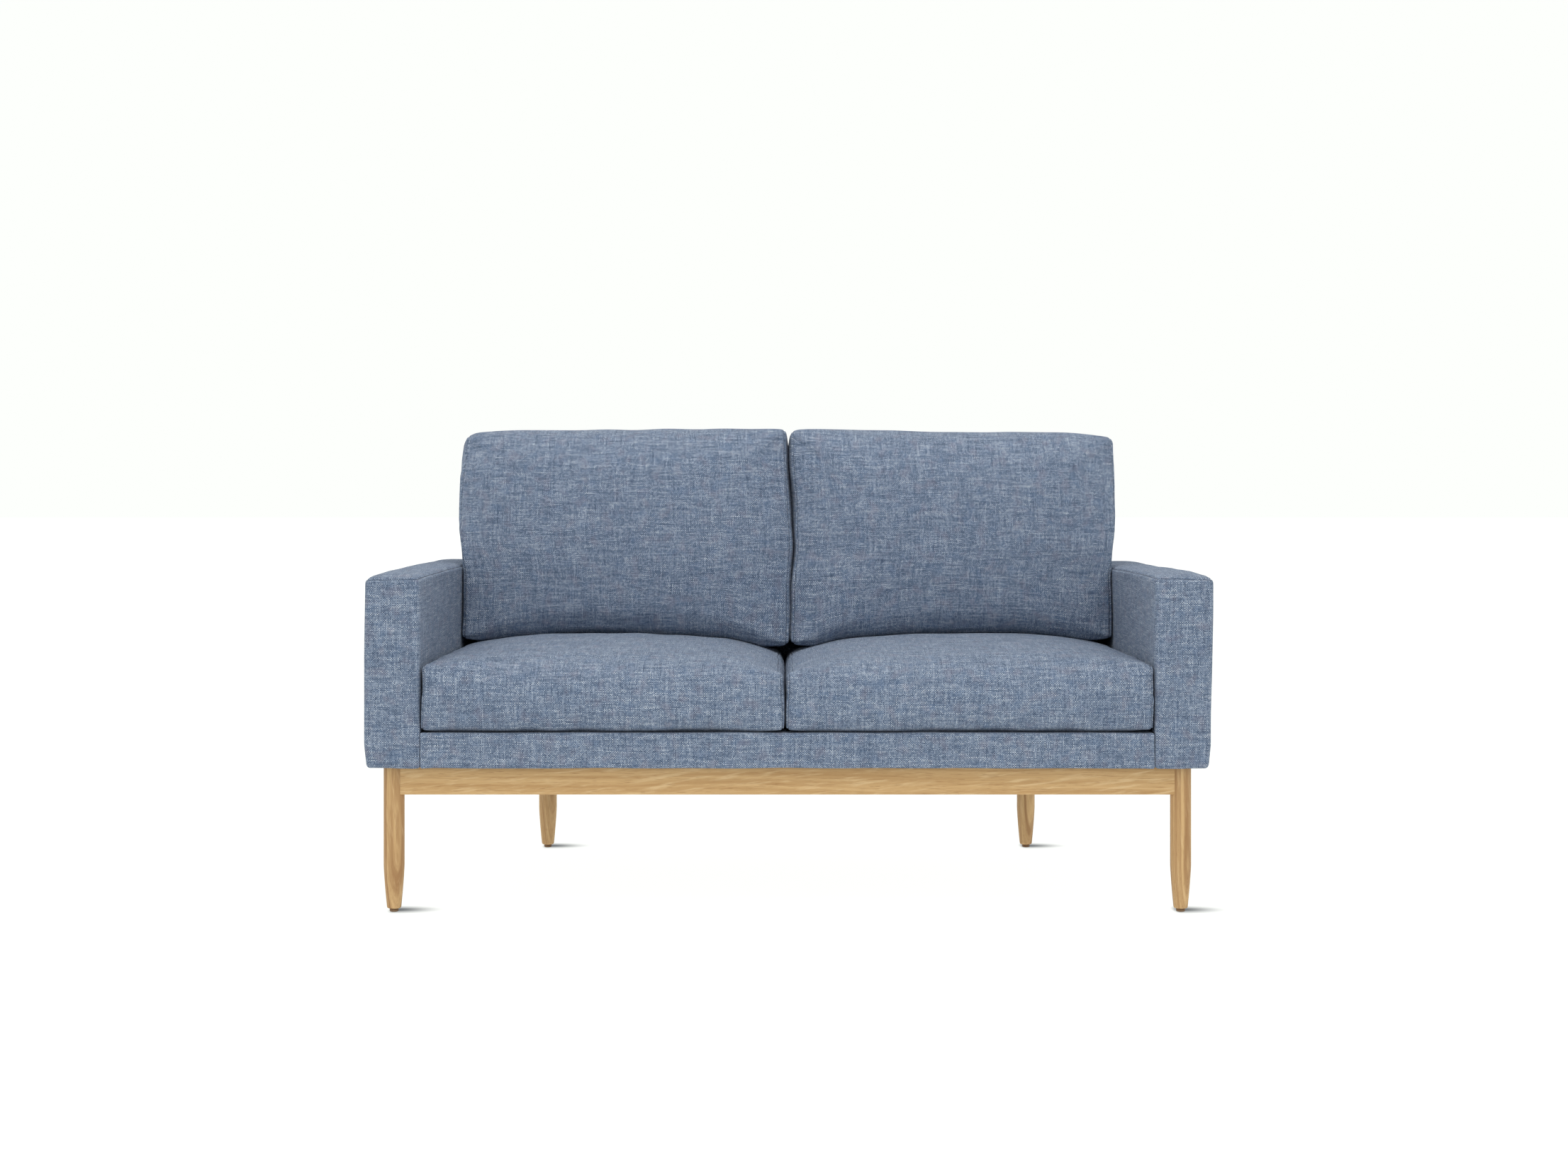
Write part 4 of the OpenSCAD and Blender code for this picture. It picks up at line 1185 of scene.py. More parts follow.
@dataclass(frozen=True)
class Wires:
    """A run of short arched wires along a path, such as slip stitches or staples."""

    name: str
    spacing: float
    length: float
    rise: float
    wire: float
    wobble: float
    seed: int
    sink: float = 0.4 * MM

    def _group(self) -> bpy.types.NodeTree:
        """Builds the tree that bends one wire and sets it along the path.

        Returns:
            The tree.
        """
        group = bpy.data.node_groups.new(f"{self.name} tree", "GeometryNodeTree")
        tree = Tree(group)
        face = group.interface
        face.new_socket("Path", in_out="INPUT", socket_type="NodeSocketGeometry")
        for label in ("Spacing", "Length", "Rise", "Wire", "Wobble", "Sink"):
            face.new_socket(label, in_out="INPUT", socket_type="NodeSocketFloat")
        face.new_socket("Seed", in_out="INPUT", socket_type="NodeSocketInt")
        face.new_socket("Finish", in_out="INPUT", socket_type="NodeSocketMaterial")
        face.new_socket("Wires", in_out="OUTPUT", socket_type="NodeSocketGeometry")
        given = tree.node("NodeGroupInput")
        take = {socket.name: Value(tree, socket) for socket in given.outputs if socket.name}
        path = {"Mesh": take["Path"]}
        line = {"Curve": tree.value("GeometryNodeMeshToCurve", inputs=path), "Length": take["Spacing"]}
        line = {"Curve": tree.value("GeometryNodeResampleCurve", {"mode": "LENGTH"}, line)}
        places = tree.node("GeometryNodeCurveToPoints", {"mode": "EVALUATED"}, line)
        points = {
            "Points": Value(tree, places.outputs["Points"]),
            "Instance": self._wire(tree, take),
            "Rotation": self._turn(tree, take, Value(tree, places.outputs["Tangent"])),
        }
        wires = tree.value("GeometryNodeInstanceOnPoints", inputs=points)
        wires = tree.value("GeometryNodeRealizeInstances", inputs={"Geometry": wires})
        wires = tree.value("GeometryNodeSetMaterial", inputs={"Geometry": wires, "Material": take["Finish"]})
        tree.node("NodeGroupOutput", inputs={"Wires": wires})
        return group

    @staticmethod
    def _wire(tree: Tree, take: dict[str, Value]) -> Value:
        """Bends one wire in its own plane.

        Args:
            tree: The tree.
            take: The tree's inputs.

        Returns:
            The wire's mesh.
        """
        half, low = take["Length"] * 0.5, take["Sink"] * -1.0
        ends = {
            "Resolution": 5,
            "Start": tree.vector(half * -1.0, 0.0, low),
            "Middle": tree.vector(0.0, 0.0, take["Rise"] * 2.0),
            "End": tree.vector(half, 0.0, low),
        }
        circle = {"Resolution": 6, "Radius": take["Wire"]}
        skin = {
            "Curve": tree.value("GeometryNodeCurveQuadraticBezier", inputs=ends),
            "Profile Curve": tree.value("GeometryNodeCurvePrimitiveCircle", {"mode": "RADIUS"}, circle),
            "Fill Caps": True,
        }
        return tree.value("GeometryNodeCurveToMesh", inputs=skin)

    @staticmethod
    def _turn(tree: Tree, take: dict[str, Value], tangent: Value) -> Value:
        """Turns each wire outwards and along the path, with a little sway.

        Args:
            tree: The tree.
            take: The tree's inputs.
            tangent: The path's way.

        Returns:
            The rotation.
        """
        align = "FunctionNodeAlignRotationToVector"
        out = tree.value("GeometryNodeInputNamedAttribute", {"data_type": "FLOAT_VECTOR"}, {"Name": "out"})
        turn = tree.value(align, {"axis": "Z"}, {"Vector": out})
        turn = tree.value(align, {"axis": "X", "pivot_axis": "Z"}, {"Rotation": turn, "Vector": tangent})
        sway = {2: take["Wobble"] * -1.0, 3: take["Wobble"], "Seed": take["Seed"]}
        sway = tree.value("FunctionNodeRandomValue", {"data_type": "FLOAT"}, sway, 1)
        sway = tree.value("FunctionNodeEulerToRotation", inputs={"Euler": tree.vector(0.0, 0.0, sway)})
        both = {"Rotation": turn, "Rotate By": sway}
        return tree.value("FunctionNodeRotateRotation", {"rotation_space": "LOCAL"}, both)

    def build(self, paths: Sequence[np.ndarray], out: Sequence[float], finish: Material, slot: str) -> Piece:
        """Makes the wires as one plain mesh.

        Args:
            paths: Lines of places, one row a place.
            out: The way the wires arch.
            finish: Their finish.
            slot: Their slot.

        Returns:
            The piece.
        """
        mesh = bpy.data.meshes.new(f"{self.name}_path")
        starts = np.cumsum([0, *[len(path) for path in paths]])
        ends = starts[1:] - 1
        edges = [(i, i + 1) for start, end in zip(starts, ends) for i in range(start, end)]
        mesh.from_pydata(np.concatenate(paths).tolist(), edges, [])
        way = mesh.attributes.new("out", "FLOAT_VECTOR", "POINT")
        way.data.foreach_set("vector", np.tile(out, (len(mesh.vertices), 1)).astype(np.float32).ravel())
        path = bpy.data.objects.new(f"{self.name}_path", mesh)
        bpy.context.scene.collection.objects.link(path)
        modifier = path.modifiers.new("wires", "NODES")
        modifier.node_group = self._group()
        given = {
            "Spacing": self.spacing, "Length": self.length, "Rise": self.rise, "Wire": self.wire,
            "Wobble": self.wobble, "Sink": self.sink, "Seed": self.seed, "Finish": finish,
        }
        for item in modifier.node_group.interface.items_tree:
            if item.name in given:
                modifier[item.identifier] = given[item.name]
        evaluated = path.evaluated_get(bpy.context.evaluated_depsgraph_get())
        wires = bpy.data.meshes.new_from_object(evaluated)
        bpy.data.objects.remove(path)
        bpy.data.meshes.remove(mesh)
        return dress(new_piece(self.name, wires, finish), slot)


# Upholstered body

@dataclass
class Arm:
    """A slab arm: one band of cloth round its sides, with a panel sewn along the top."""

    side: str
    body: Body
    seed: int
    seam: Curve
    bulge: Curve
    depth: float = 785 * MM
    height: float = 330 * MM
    crown: float = 5.5 * MM
    lip: float = 2.4 * MM
    edge: float = 5 * MM
    outer_edge: float = 9 * MM
    upright: float = 11 * MM
    tight: float = 0.6 * MM
    lower: float = 5 * MM
    taper: float = 4 * MM
    wavelength: float = 160 * MM
    wave: float = 0.5 * MM
    seam_depth: float = 1.6 * MM
    pucker: float = 0.35 * MM

    @property
    def sign(self) -> int:
        """The side of the middle that the arm stands on."""
        return 1 if self.side == "right" else -1

    def shape(self, shares: np.ndarray) -> np.ndarray:
        """Gives the arm its form, drawn on the right and mirrored for the left.

        Args:
            shares: Each point's shares.

        Returns:
            Its places.
        """
        a, b, c = shares.T
        body = self.body
        outward = a if self.sign > 0 else 1 - a
        size = np.array([body.half_width - body.arm_inside, self.depth, self.height])
        across, y, z = rounded(shares * size, size, self._radii(outward, b, c)).T
        domed = (1 - np.abs(2 * a - 1) ** 3) * smooth(b, 0.0, 0.05) * (1 - smooth(b, 0.97, 1.0))
        seam = along(body.front + y, self.seam)
        low = body.underside
        z = low + z / self.height * (seam - low) + self.crown * domed * (c > 0.999)
        y = body.front + y / self.depth * (body.back_rear(z) - 0.4 * MM - body.front)
        x = body.arm_inside + (across if self.sign > 0 else size[0] - across)
        outer = smooth(x, body.arm_inside, body.half_width)
        x += outer * (along(z, self.bulge) - self.taper * (1 - smooth(z, low, low + 45 * MM)))
        edge = np.maximum(1 - smooth(y, body.front, body.front + 20 * MM), smooth(outer, 0.9, 1.0))
        z -= self.lip * edge * (1 - smooth(z, low, low + 50 * MM))
        return np.stack([self.sign * x, y, z], 1)

    def _radii(self, outward: np.ndarray, b: np.ndarray, c: np.ndarray) -> np.ndarray:
        """The radii of the edges: tight where the border meets the arm, fuller along the outer top.

        Args:
            outward: Shares of the width, from the inside out.
            b: Shares of the depth.
            c: Shares of the height.

        Returns:
            A radius for each axis of each point.
        """
        body = self.body
        above_border = smooth(body.underside + c * self.height, body.deck - 2 * MM, body.deck + 16 * MM)
        beside = self.tight + (self.upright - self.tight) * above_border
        upright = np.where((outward < 0.5) & (b < 0.5), beside, self.upright)
        level = np.where(c > 0.5, np.where(outward > 0.5, self.outer_edge, self.edge), self.lower)
        return np.stack([upright, upright, level], 1)

    def build(self, finishes: Finishes) -> Piece:
        """Makes and dresses the arm.

        Args:
            finishes: The settee's finishes.

        Returns:
            The arm's cover.
        """
        form = Form(f"{self.side}_arm_cloth", (14, 100, 46), Wrap.AROUND, (Side.TOP,))
        piece = form.build(self.shape, finishes.tweed, 7.7 + self.seed)
        swell(piece, ripple(coordinates(piece.data), self.wavelength, self.seed) * self.wave)
        refine(piece)
        sew(piece, self.seam_depth, self.seed + 3, self.pucker)
        points = coordinates(piece.data)
        points[:, 0] = self.sign * np.maximum(self.sign * points[:, 0], self.body.arm_inside)
        place_vertices(piece.data, points)
        return dress(piece, "tweed", f"{self.side}_arm_cover", f"{self.side}_arm_top_panel", fill=0.97)


@dataclass
class Block:
    """A covered block between two corners, with rounded edges, such as the border or the deck."""

    name: str
    low: Point
    high: Point
    counts: tuple[int, int, int]
    roll: float
    seed: int
    wave: float = 0.4 * MM
    wavelength: float = 140 * MM
    seam_depth: float = 1.4 * MM
    sewn: tuple[Side, ...] = ()
    end_share: float = 0.0
    rear_roll: float | None = None
    bend: Bend | None = None

    def shape(self, shares: np.ndarray) -> np.ndarray:
        """Rounds the block and bends it to its place.

        Args:
            shares: Each point's shares.

        Returns:
            Its places.
        """
        low, high = np.array(self.low), np.array(self.high)
        to_end = smooth(np.minimum(shares[:, 0], 1 - shares[:, 0]), 0.0, self.end_share)
        radii = (self.roll * (0.1 + 0.9 * to_end))[:, None] * np.ones(3)
        if self.rear_roll is not None:
            radii[(shares[:, 1] > 0.5) | (shares[:, 2] < 0.1)] = self.rear_roll
        points = low + rounded(shares * (high - low), high - low, radii)
        points += ripple(points, self.wavelength, self.seed)[:, None] * self.wave * (0.5 - shares) * 2
        return self.bend(points) if self.bend else points

    def build(self, finish: Material, fine: bool = True) -> Piece:
        """Makes the piece.

        Args:
            finish: Its cloth.
            fine: Whether it is subdivided.

        Returns:
            The piece.
        """
        form = Form(self.name, self.counts, sewn=self.sewn)
        piece = form.build(self.shape, finish, 11.0 + self.seed)
        if fine:
            refine(piece)
        sew(piece, self.seam_depth, self.seed)
        return piece


@dataclass
class Upholstery:
    """The fixed upholstery: arms, border, back, deck and dust cover."""

    body: Body
    finishes: Finishes
    edge: float = 0.2 * MM

    def build(self) -> None:
        """Makes every fixed cover."""
        Arm("left", self.body, 21, LEFT_ARM_SEAM, LEFT_ARM_BULGE).build(self.finishes)
        Arm("right", self.body, 22, RIGHT_ARM_SEAM, RIGHT_ARM_BULGE).build(self.finishes)
        self.border()
        self.inside_back()
        self.outside_back()
        self.deck()
        self.dust_cover()

    def border(self) -> None:
        """Covers the padded border in front of the deck."""
        low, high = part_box("front_border_cover")

        def hanging(points: np.ndarray) -> np.ndarray:
            """Lets the lower front edge hang a little over the rail.

            Args:
                points: The cover's places.

            Returns:
                The places, moved.
            """
            near = 1 - smooth(points[:, 1], low.y, low.y + 15 * MM)
            points[:, 2] -= 2.4 * MM * near * (1 - smooth(points[:, 2], low.z, high.z))
            return points

        start, end = (low.x + self.edge, low.y, low.z), (high.x - self.edge, high.y, high.z)
        block = Block(
            "front_border_cloth", start, end, (150, 8, 9), roll=5 * MM, seed=31, end_share=0.02, bend=hanging
        )
        dress(block.build(self.finishes.tweed), "tweed", "front_border_cover", fill=0.97)

    def inside_back(self) -> None:
        """Covers the back, round to the outside panel."""
        low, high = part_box("inside_back_cover")
        block = Block(
            "inside_back_cloth",
            (low.x + self.edge, -self.body.thickness, low.z + self.edge),
            (high.x - self.edge, -0.8 * MM, high.z),
            (130, 14, 52), roll=22 * MM, seed=35, wave=0.3 * MM, rear_roll=0.8 * MM,
            bend=self.body.leaning,
        )
        dress(block.build(self.finishes.tweed), "tweed", "inside_back_cover", fill=0.97)

    def outside_back(self) -> None:
        """Closes the back with a panel, slip-stitched along its sides and top."""
        lean = self.body.lean
        low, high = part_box("outside_back_panel")
        block = Block(
            "outside_back_cloth",
            (low.x + 0.5 * MM, -2.4 * MM, low.z),
            (high.x - 0.5 * MM, 0.9 * MM, high.z - 8 * MM),
            (130, 3, 56), roll=1.6 * MM, seed=36, wave=0.3 * MM, sewn=(Side.REAR,),
            bend=self.body.leaning,
        )
        flat = (high.x - low.x - 4 * MM, (high.z - low.z - 8 * MM) / math.cos(lean))
        piece = block.build(self.finishes.tweed)
        dress(piece, "tweed", "outside_back_panel", flat=flat, rests_on=["inside_back_cloth"])
        side, top = high.x - 1.2 * MM, high.z - 8.6 * MM
        heights = np.linspace(low.z + 6 * MM, top, 60)
        up = np.stack([np.full(60, side), self.body.back_rear(heights) + 0.4 * MM, heights], 1)
        across = np.stack([np.linspace(-side, side, 120), np.full(120, up[-1, 1]), np.full(120, top)], 1)
        stitches = Wires(
            "slip_stitches", spacing=8.5 * MM, length=4.2 * MM, rise=0.35 * MM, wire=0.32 * MM,
            wobble=0.3, seed=61,
        )
        out = (0.0, math.cos(lean), -math.sin(lean))
        stitches.build([up * np.array([-1, 1, 1]), up, across], out, self.finishes.thread, "tweed")

    def deck(self) -> None:
        """Covers the sprung deck, which sags a little between the rails."""
        low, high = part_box("deck_cover")

        def sagging(points: np.ndarray) -> np.ndarray:
            """Lowers the cover between the rails.

            Args:
                points: The cover's places.

            Returns:
                The places, moved.
            """
            across = np.clip(np.abs(points[:, 0]) / high.x, 0, 1)
            deep = np.clip((points[:, 1] - low.y) / (high.y - low.y), 0, 1)
            points[:, 2] -= 1.6 * MM * np.sin(math.pi * deep) * (1 - across**6)
            return points

        start, end = (low.x + self.edge, low.y, low.z - 0.6 * MM), (high.x - self.edge, high.y, high.z)
        block = Block(
            "deck_cloth", start, end, (120, 60, 2), roll=0.8 * MM, seed=37, wave=0.0, bend=sagging
        )
        piece = block.build(self.finishes.tweed, False)
        dress(piece, "tweed", "deck_cover", flat=(high.x - low.x, high.y - low.y), rests_on=["deck_pad"])

    def dust_cover(self) -> None:
        """Closes the underside with a slack sheet of black cambric, stapled round its edge."""
        low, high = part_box("dust_cover")

        def slack(points: np.ndarray) -> np.ndarray:
            """Lets the sheet hang a little between its edges.

            Args:
                points: The sheet's places.

            Returns:
                The places, moved.
            """
            across = 1 - np.clip(np.abs(points[:, 0]) / high.x, 0, 1) ** 4
            deep = 1 - np.abs(2 * np.clip((points[:, 1] - low.y) / (high.y - low.y), 0, 1) - 1) ** 4
            points[:, 2] -= (1.4 + 0.5 * ripple(points * np.array([1, 1, 0]), 0.2, 5)) * MM * across * deep
            return points

        start = (low.x + self.edge, low.y, low.z)
        block = Block(
            "dust_cover_cambric", start, tuple(high), (110, 60, 2), roll=0.8 * MM, seed=39, wave=0.0,
            bend=slack,
        )
        piece = block.build(self.finishes.cambric, False)
        rails = ["seat_front_rail", "seat_rear_rail"]
        dress(piece, "cambric", "dust_cover", flat=(high.x - low.x, high.y - low.y), rests_on=rails)
        inset = 9 * MM
        x, front, rear = high.x - inset, low.y + inset, high.y - inset
        ring = [(-x, front), (x, front), (x, rear), (-x, rear), (-x, front)]
        path = np.array([(px, py, low.z - 0.1 * MM) for px, py in ring])
        staples = Wires(
            "dust_cover_staples", spacing=42 * MM, length=10 * MM, rise=0.3 * MM, wire=0.45 * MM,
            wobble=0.12, seed=62,
        )
        staples.build([path], (0, 0, -1), self.finishes.steel, "steel")


# Oak base

def rings_mesh(name: str, rings: np.ndarray) -> Mesh:
    """Skins a stack of rings and closes both ends.

    Args:
        name: The mesh's name.
        rings: Places, as rings by points by three, turning with the right hand about the stack's way.

    Returns:
        The mesh.
    """
    count, n = rings.shape[:2]
    points = [*rings.reshape(-1, 3).tolist(), rings[0].mean(0).tolist(), rings[-1].mean(0).tolist()]
    faces = [
        (k * n + i, k * n + (i + 1) % n, (k + 1) * n + (i + 1) % n, (k + 1) * n + i)
        for k in range(count - 1)
        for i in range(n)
    ]
    last = (count - 1) * n
    faces += [((i + 1) % n, i, count * n) for i in range(n)]
    faces += [(last + i, last + (i + 1) % n, count * n + 1) for i in range(n)]
    mesh = bpy.data.meshes.new(name)
    mesh.from_pydata(points, [], faces)
    mesh.update()
    return mesh


def turned(node: str, name: str, profile: Sequence[Span], steps: int) -> Mesh:
    """Turns a profile about the upright axis of a CAD node.

    Args:
        node: The CAD node.
        name: The mesh's name.
        profile: Radius and height of each ring, from the floor up.
        steps: Points in a ring.

    Returns:
        The mesh.
    """
    low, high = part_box(node)
    centre = (low + high) / 2
    angles = np.linspace(0, 2 * math.pi, steps, endpoint=False)
    rings = np.array([[(r * math.cos(a), r * math.sin(a), z) for a in angles] for r, z in profile])
    return rings_mesh(name, rings + np.array([centre.x, centre.y, 0.0]))


@dataclass
class OakBase:
    """Four turned legs, four coped rails and four glides."""

    leg_radius: float = 18.5 * MM
    foot_radius: float = 12.4 * MM
    foot_edge: float = 2.4 * MM
    taper_start: float = 2.6 * MM
    taper_top: float = 86 * MM
    glide_height: float = 6.3 * MM
    power: float = 1.35
    ease: float = 1.2 * MM
    rail_height: float = 50.3 * MM
    rail_width: float = 22 * MM
    rail_out: float = 2.4 * MM
    cope_gap: float = 0.1 * MM

    def leg(self, name: str, finish: Material) -> None:
        """Turns a leg: straight, then a long taper to a slightly rounded foot.

        Args:
            name: The CAD node that it stands for.
            finish: Its oak.
        """
        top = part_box(name)[1].z
        foot, edge = self.glide_height, self.foot_edge
        profile = [(self.foot_radius - 3.2 * MM, foot)]
        for turn in (t * math.pi / 2 for t in (0.3, 0.6, 0.85)):
            radius = self.foot_radius - edge * (1 - math.sin(turn))
            profile.append((radius, foot + edge * (1 - math.cos(turn))))
        for z in np.linspace(foot + self.taper_start, self.taper_top, 25):
            fall = 1 - (1 - (z - foot) / (self.taper_top - foot)) ** self.power
            profile.append((self.foot_radius + (self.leg_radius - self.foot_radius) * fall, z))
        profile += [(self.leg_radius, z) for z in np.linspace(self.taper_top, top, 5)[1:]]
        piece = new_piece(f"{name}_oak", turned(name, f"{name}_oak", profile, 72), finish, True)
        dress(piece, "oak", name)

    def rail(self, name: str, start: Vector, end: Vector, out: float, finish: Material) -> None:
        """Planes a rail with eased edges, its ends coped round the legs.

        Args:
            name: The CAD node that it stands for.
            start: Axis of the leg at one end.
            end: Axis of the leg at the other.
            out: How far its middle lies to the left of the line between the axes.
            finish: Its oak.
        """
        way = (end - start).normalized()
        left = Vector((-way.y, way.x, 0.0))
        run = (end - start).length
        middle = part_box(name)[1].z - self.rail_height / 2
        rows = self._outline()
        rings = []
        for share in np.linspace(0, 1, 25):
            ring = []
            for y, z in rows:
                offset = y + out
                cope = math.sqrt(max(self.leg_radius**2 - offset**2, 0.0)) + self.cope_gap
                spot = start + way * (cope + (run - 2 * cope) * share) + left * offset
                ring.append((spot.x, spot.y, middle + z))
            rings.append(ring)
        piece = new_piece(f"{name}_oak", rings_mesh(f"{name}_oak", np.array(rings)), finish, True)
        dress(piece, "oak", name)

    def _outline(self) -> list[Span]:
        """The rail's section, with points along its flat sides, so that coped ends follow the legs.

        Returns:
            Places across and up, from the middle.
        """
        inner_w, inner_h = self.rail_width / 2 - self.ease, self.rail_height / 2 - self.ease
        outline = []
        for across, up, turn in ((1, 1, 0), (-1, 1, 90), (-1, -1, 180), (1, -1, 270)):
            for angle in (math.radians(turn + step * 30) for step in range(4)):
                y = across * inner_w + self.ease * math.cos(angle)
                outline.append((y, up * inner_h + self.ease * math.sin(angle)))
        rows = []
        for one, other in zip(outline, outline[1:] + outline[:1]):
            rows.append(one)
            if math.dist(one, other) > 5 * MM:
                rows += [tuple(p + (q - p) * t / 6 for p, q in zip(one, other)) for t in range(1, 6)]
        return rows

    def glide(self, name: str, finish: Material) -> None:
        """Moulds a glide with a rounded sole and a groove under the leg.

        Args:
            name: The CAD node that it stands for.
            finish: Its nylon.
        """
        low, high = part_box(name)
        radius = (high.x - low.x) / 2
        insets = [(2.2, 0), (1, 0.35), (0.25, 1.1), (0, 2), (0, 4.4), (0.4, 4.9), (1.3, 5.2), (1.3, 5.8)]
        profile = [(0.3 * MM, 0.0), *((radius - inset * MM, z * MM) for inset, z in insets)]
        profile.append((radius - 1.0 * MM, self.glide_height))
        dress(new_piece(f"{name}_nylon", turned(name, f"{name}_nylon", profile, 48), finish), "glide", name)

    def build(self, finishes: Finishes) -> None:
        """Makes the base.

        Args:
            finishes: The settee's finishes.
        """
        axis = {}
        for corner in ("front_left", "front_right", "rear_left", "rear_right"):
            low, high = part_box(f"{corner}_leg")
            axis[corner] = Vector(((low.x + high.x) / 2, (low.y + high.y) / 2, 0.0))
            self.leg(f"{corner}_leg", finishes.leg)
            self.glide(f"{corner}_glide", finishes.glide)
        self.rail("base_front_rail", axis["front_left"], axis["front_right"], -self.rail_out, finishes.rail)
        self.rail("base_rear_rail", axis["rear_left"], axis["rear_right"], self.rail_out, finishes.rear_rail)
        self.rail("base_left_rail", axis["front_left"], axis["rear_left"], 0.0, finishes.left_rail)
        self.rail("base_right_rail", axis["front_right"], axis["rear_right"], 0.0, finishes.right_rail)


# Hidden pieces

def welded(mesh: Mesh) -> bmesh.types.BMesh:
    """Opens a mesh for editing, with its coincident vertices joined.

    Args:
        mesh: The mesh.

    Returns:
        Its editable copy.
    """
    cage = bmesh.new()
    cage.from_mesh(mesh)
    bmesh.ops.remove_doubles(cage, verts=cage.verts, dist=0.01 * MM)
    return cage


def tucked(
    name: str, cover: Piece, finish: Material, slot: str = "padding", fill: float | None = 0.98,
    skin: float = 1.6 * MM, reach: float = 30 * MM,
) -> None:
    """Copies a piece and draws it in under its cover.

    Args:
        name: The piece's CAD node.
        cover: The cover over it.
        finish: What it is made of.
        slot: The finish's slot.
        fill: How full it is, for a padded piece.
        skin: How deep it lies under the cover.
        reach: How far from the cover its points are looked at.
    """
    mesh = frame["nodes"][name].data.copy()
    cage = welded(mesh)
    cage.to_mesh(mesh)
    cage.free()
    tree = BVHTree.FromObject(cover, bpy.context.evaluated_depsgraph_get())
    points = coordinates(mesh)
    for i, point in enumerate(points):
        spot, normal, _, _ = tree.find_nearest(Vector(point), reach)
        if spot is not None and (Vector(point) - spot).dot(normal) > -skin:
            points[i] = spot - normal * skin
    place_vertices(mesh, points)
    dress(new_piece(f"{name}_tucked", mesh, finish, True), slot, name, fill=fill)


def bands(cage: bmesh.types.BMesh) -> list[np.ndarray]:
    """Finds the separate bands of a mesh.

    Args:
        cage: The mesh.

    Returns:
        The places of each band, from the one with the first vertex on.
    """
    found = []
    left = set(cage.verts)
    while left:
        band, edge = set(), {min(left, key=lambda vert: vert.index)}
        while edge:
            band |= edge
            edge = {other for vert in edge for link in vert.link_edges for other in link.verts} - band
        left -= band
        found.append(np.array([vert.co for vert in band]))
    return found


@dataclass
class Inside:
    """The frame, springs and fillings: hard ones keep their CAD shapes, soft ones lie under their covers."""

    woods: tuple[str, ...] = (
        "corner_blocks", "seat_front_rail", "seat_rear_rail", "seat_left_rail", "seat_right_rail",
        "seat_centre_brace", "left_arm_front_post", "left_arm_board", "right_arm_front_post",
        "right_arm_board", "left_back_post", "right_back_post", "centre_back_post", "back_top_rail",
        "back_lower_rail",
    )
    steels: tuple[str, ...] = ("base_bolts", "base_washers")
    springs: tuple[str, ...] = ("spring_clips", "zigzag_springs", "spring_tie_wires")
    fillings: tuple[tuple[str, str], ...] = (
        ("deck_pad", "deck_cloth"),
        ("front_border_padding", "front_border_cloth"),
        ("left_arm_padding", "left_arm_cloth"),
        ("right_arm_padding", "right_arm_cloth"),
        ("back_padding", "inside_back_cloth"),
    )

    def webbing(self, body: Body, finish: Material) -> None:
        """Stretches each band of webbing across the back frame.

        Args:
            body: The body's planes.
            finish: The webbing.
        """
        cage = welded(frame["nodes"]["back_webbing"].data)
        for number, points in enumerate(bands(cage), 1):
            points[:, 1] -= body.back_rear(points[:, 2])
            low, high = points.min(0), points.max(0)
            width, _, height = (high - low).tolist()
            counts = (90, 2, 8) if width > height else (8, 2, 60)
            name = f"back_webbing_{number}"
            block = Block(
                name, tuple(low), tuple(high), counts, roll=0.4 * MM, seed=70 + number, wave=0.0,
                bend=body.leaning,
            )
            flat = tuple(sorted((width, height / math.cos(body.lean))))
            posts = ["left_back_post", "right_back_post"]
            dress(block.build(finish, False), "webbing", "back_webbing", flat=flat, rests_on=posts)
        cage.free()

    def build(self, body: Body, finishes: Finishes) -> None:
        """Finishes the hidden pieces.

        Args:
            body: The body's planes.
            finishes: The settee's finishes.
        """
        self.webbing(body, finishes.webbing)
        covers = bpy.data.objects
        for name, cover in self.fillings:
            tucked(name, covers[cover], finishes.felt)
        for side in ("left", "right"):
            post = f"{side}_arm_rear_post"
            tucked(post, covers[f"{side}_arm_cloth"], finishes.softwood, "frame_wood", None)
        hard = (self.woods, finishes.softwood), (self.steels, finishes.steel), (self.springs, finishes.spring)
        for node, finish in ((frame["nodes"][name], finish) for names, finish in hard for name in names):
            for slot in node.material_slots:
                slot.material = finish
            if not node.material_slots:
                node.data.materials.append(finish)


# Studio

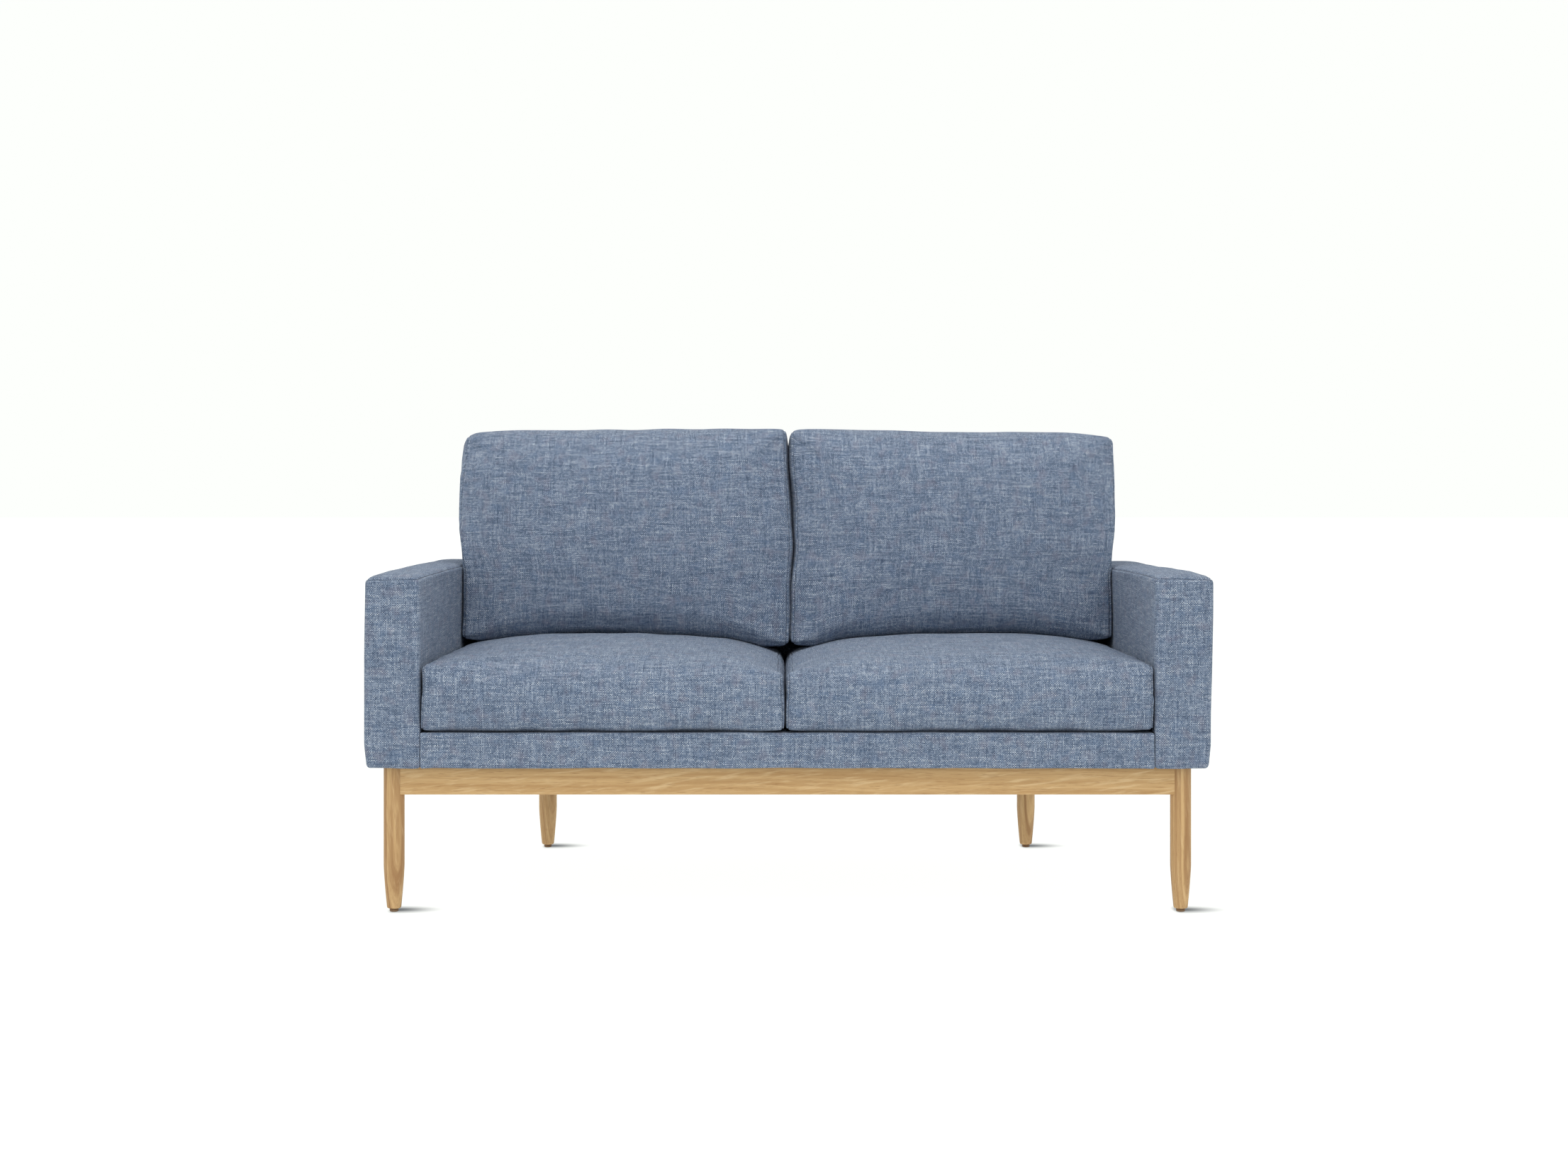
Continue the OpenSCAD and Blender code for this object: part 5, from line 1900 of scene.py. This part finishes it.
@dataclass(frozen=True)
class Studio:
    """White studio with a level shift-lens camera, an even sky and a broad light overhead."""

    camera_at: Point = (-0.006, -4.4275, 0.771)
    lens: float = 52.0
    sensor: float = 36.0
    shift: float = -0.0698
    white: Colour = linear(253, 255, 252)
    shade: Colour = linear(96, 100, 104)
    shadow_right: float = 96 * MM
    shadow_left: float = 16 * MM
    shadow_deep: float = 44 * MM
    shadow_behind: float = 16 * MM
    reach: float = 40.0
    albedo: float = 0.08
    sky: float = 1.0
    light_at: Point = (0.0, -1.5, 3.2)
    light_to: Point = (0.0, 0.0, 0.4)
    light_size: float = 2.2
    power: float = 32.0

    def build(self) -> None:
        """Sets up the camera, the floor, the sky and the light."""
        scene = bpy.context.scene
        data = bpy.data.cameras.new("camera")
        data.lens, data.sensor_width, data.shift_y = self.lens, self.sensor, self.shift
        camera = bpy.data.objects.new("camera", data)
        camera.location = self.camera_at
        camera.rotation_euler = (math.pi / 2, 0, 0)
        scene.collection.objects.link(camera)
        scene.camera = camera
        scene.view_settings.view_transform = "Standard"
        self._world(scene)
        self._floor(scene)
        self._light(scene)

    def _world(self, scene: bpy.types.Scene) -> None:
        """Hangs a plain white sky.

        Args:
            scene: The scene.
        """
        world = bpy.data.worlds.new("studio")
        world.use_nodes = True
        background = world.node_tree.nodes["Background"]
        background.inputs["Color"].default_value = (*self.white, 1.0)
        background.inputs["Strength"].default_value = self.sky
        scene.world = world

    def _floor(self, scene: bpy.types.Scene) -> None:
        """Lays a glowing white floor with a painted shadow beside each foot, on the side away from the light.

        Args:
            scene: The scene.
        """
        mesh = bpy.data.meshes.new("floor")
        corners_at = [(x * self.reach, y * self.reach, 0) for x, y in ((-1, -1), (1, -1), (1, 1), (-1, 1))]
        mesh.from_pydata(corners_at, [], [(0, 1, 2, 3)])
        floor = bpy.data.objects.new("floor", mesh)
        scene.collection.objects.link(floor)
        tree = Surface("floor")
        base = {
            "Base Color": (self.albedo, self.albedo, self.albedo, 1.0),
            "Roughness": 1.0,
            "Specular IOR Level": 0.0,
            # painted shadow: the glow fades to the shade colour near each foot
            "Emission Color": tree.mix(self._beside(tree).step(0.05, 1.0), self.shade, self.white),
            "Emission Strength": 1.0,
        }
        mesh.materials.append(tree.finish(base))

    def _beside(self, tree: Surface) -> Value:
        """The distance from the nearest foot, as a share of its shadow's reach.

        Args:
            tree: The floor's tree.

        Returns:
            The share.
        """
        x, y, _ = tree.parts(tree.places())
        near = None
        for node in (name for name in frame["nodes"] if name.endswith("_glide")):
            middle = sum(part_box(node), Vector()) / 2
            dx, dy = x - middle.x, (y - (middle.y + self.shadow_behind)) / self.shadow_deep
            right = dx.maths("MAXIMUM", 0.0) / self.shadow_right
            left = dx.maths("MINIMUM", 0.0) / self.shadow_left
            far = (right * right + left * left + dy * dy) ** 0.5
            near = far if near is None else near.maths("MINIMUM", far)
        return near

    def _light(self, scene: bpy.types.Scene) -> None:
        """Adds a square softbox overhead.

        Args:
            scene: The scene.
        """
        data = bpy.data.lights.new("overhead", "AREA")
        data.shape, data.size, data.energy = "SQUARE", self.light_size, self.power
        light = bpy.data.objects.new("overhead", data)
        light.location = self.light_at
        way = Vector(self.light_at) - Vector(self.light_to)
        light.rotation_euler = way.to_track_quat("Z", "Y").to_euler()
        scene.collection.objects.link(light)


def main() -> None:
    """Builds the settee and reports each piece."""
    logging.basicConfig(level=logging.INFO, format="%(message)s")
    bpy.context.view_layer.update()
    Studio().build()
    finishes = Finishes()
    body = Body()
    OakBase().build(finishes)
    Upholstery(body, finishes).build()
    Inside().build(body, finishes)
    split, gap = -4.0 * MM, 0.5 * MM
    reach = body.arm_inside - 0.6 * MM
    left_seat = SeatCushion("left", body, 41, (-reach, split - gap)).build(finishes)
    right_seat = SeatCushion("right", body, 42, (split + gap, reach)).build(finishes)
    BackCushion("left", body, 51, left_seat, LEFT_OUTER, LEFT_INNER, LEFT_TOP).build(finishes)
    BackCushion(
        "right", body, 52, right_seat, RIGHT_OUTER, RIGHT_INNER, RIGHT_TOP,
        outer_corner=20 * MM, inner_corner=22 * MM,
    ).build(finishes)


if __name__ == "__main__":
    main()
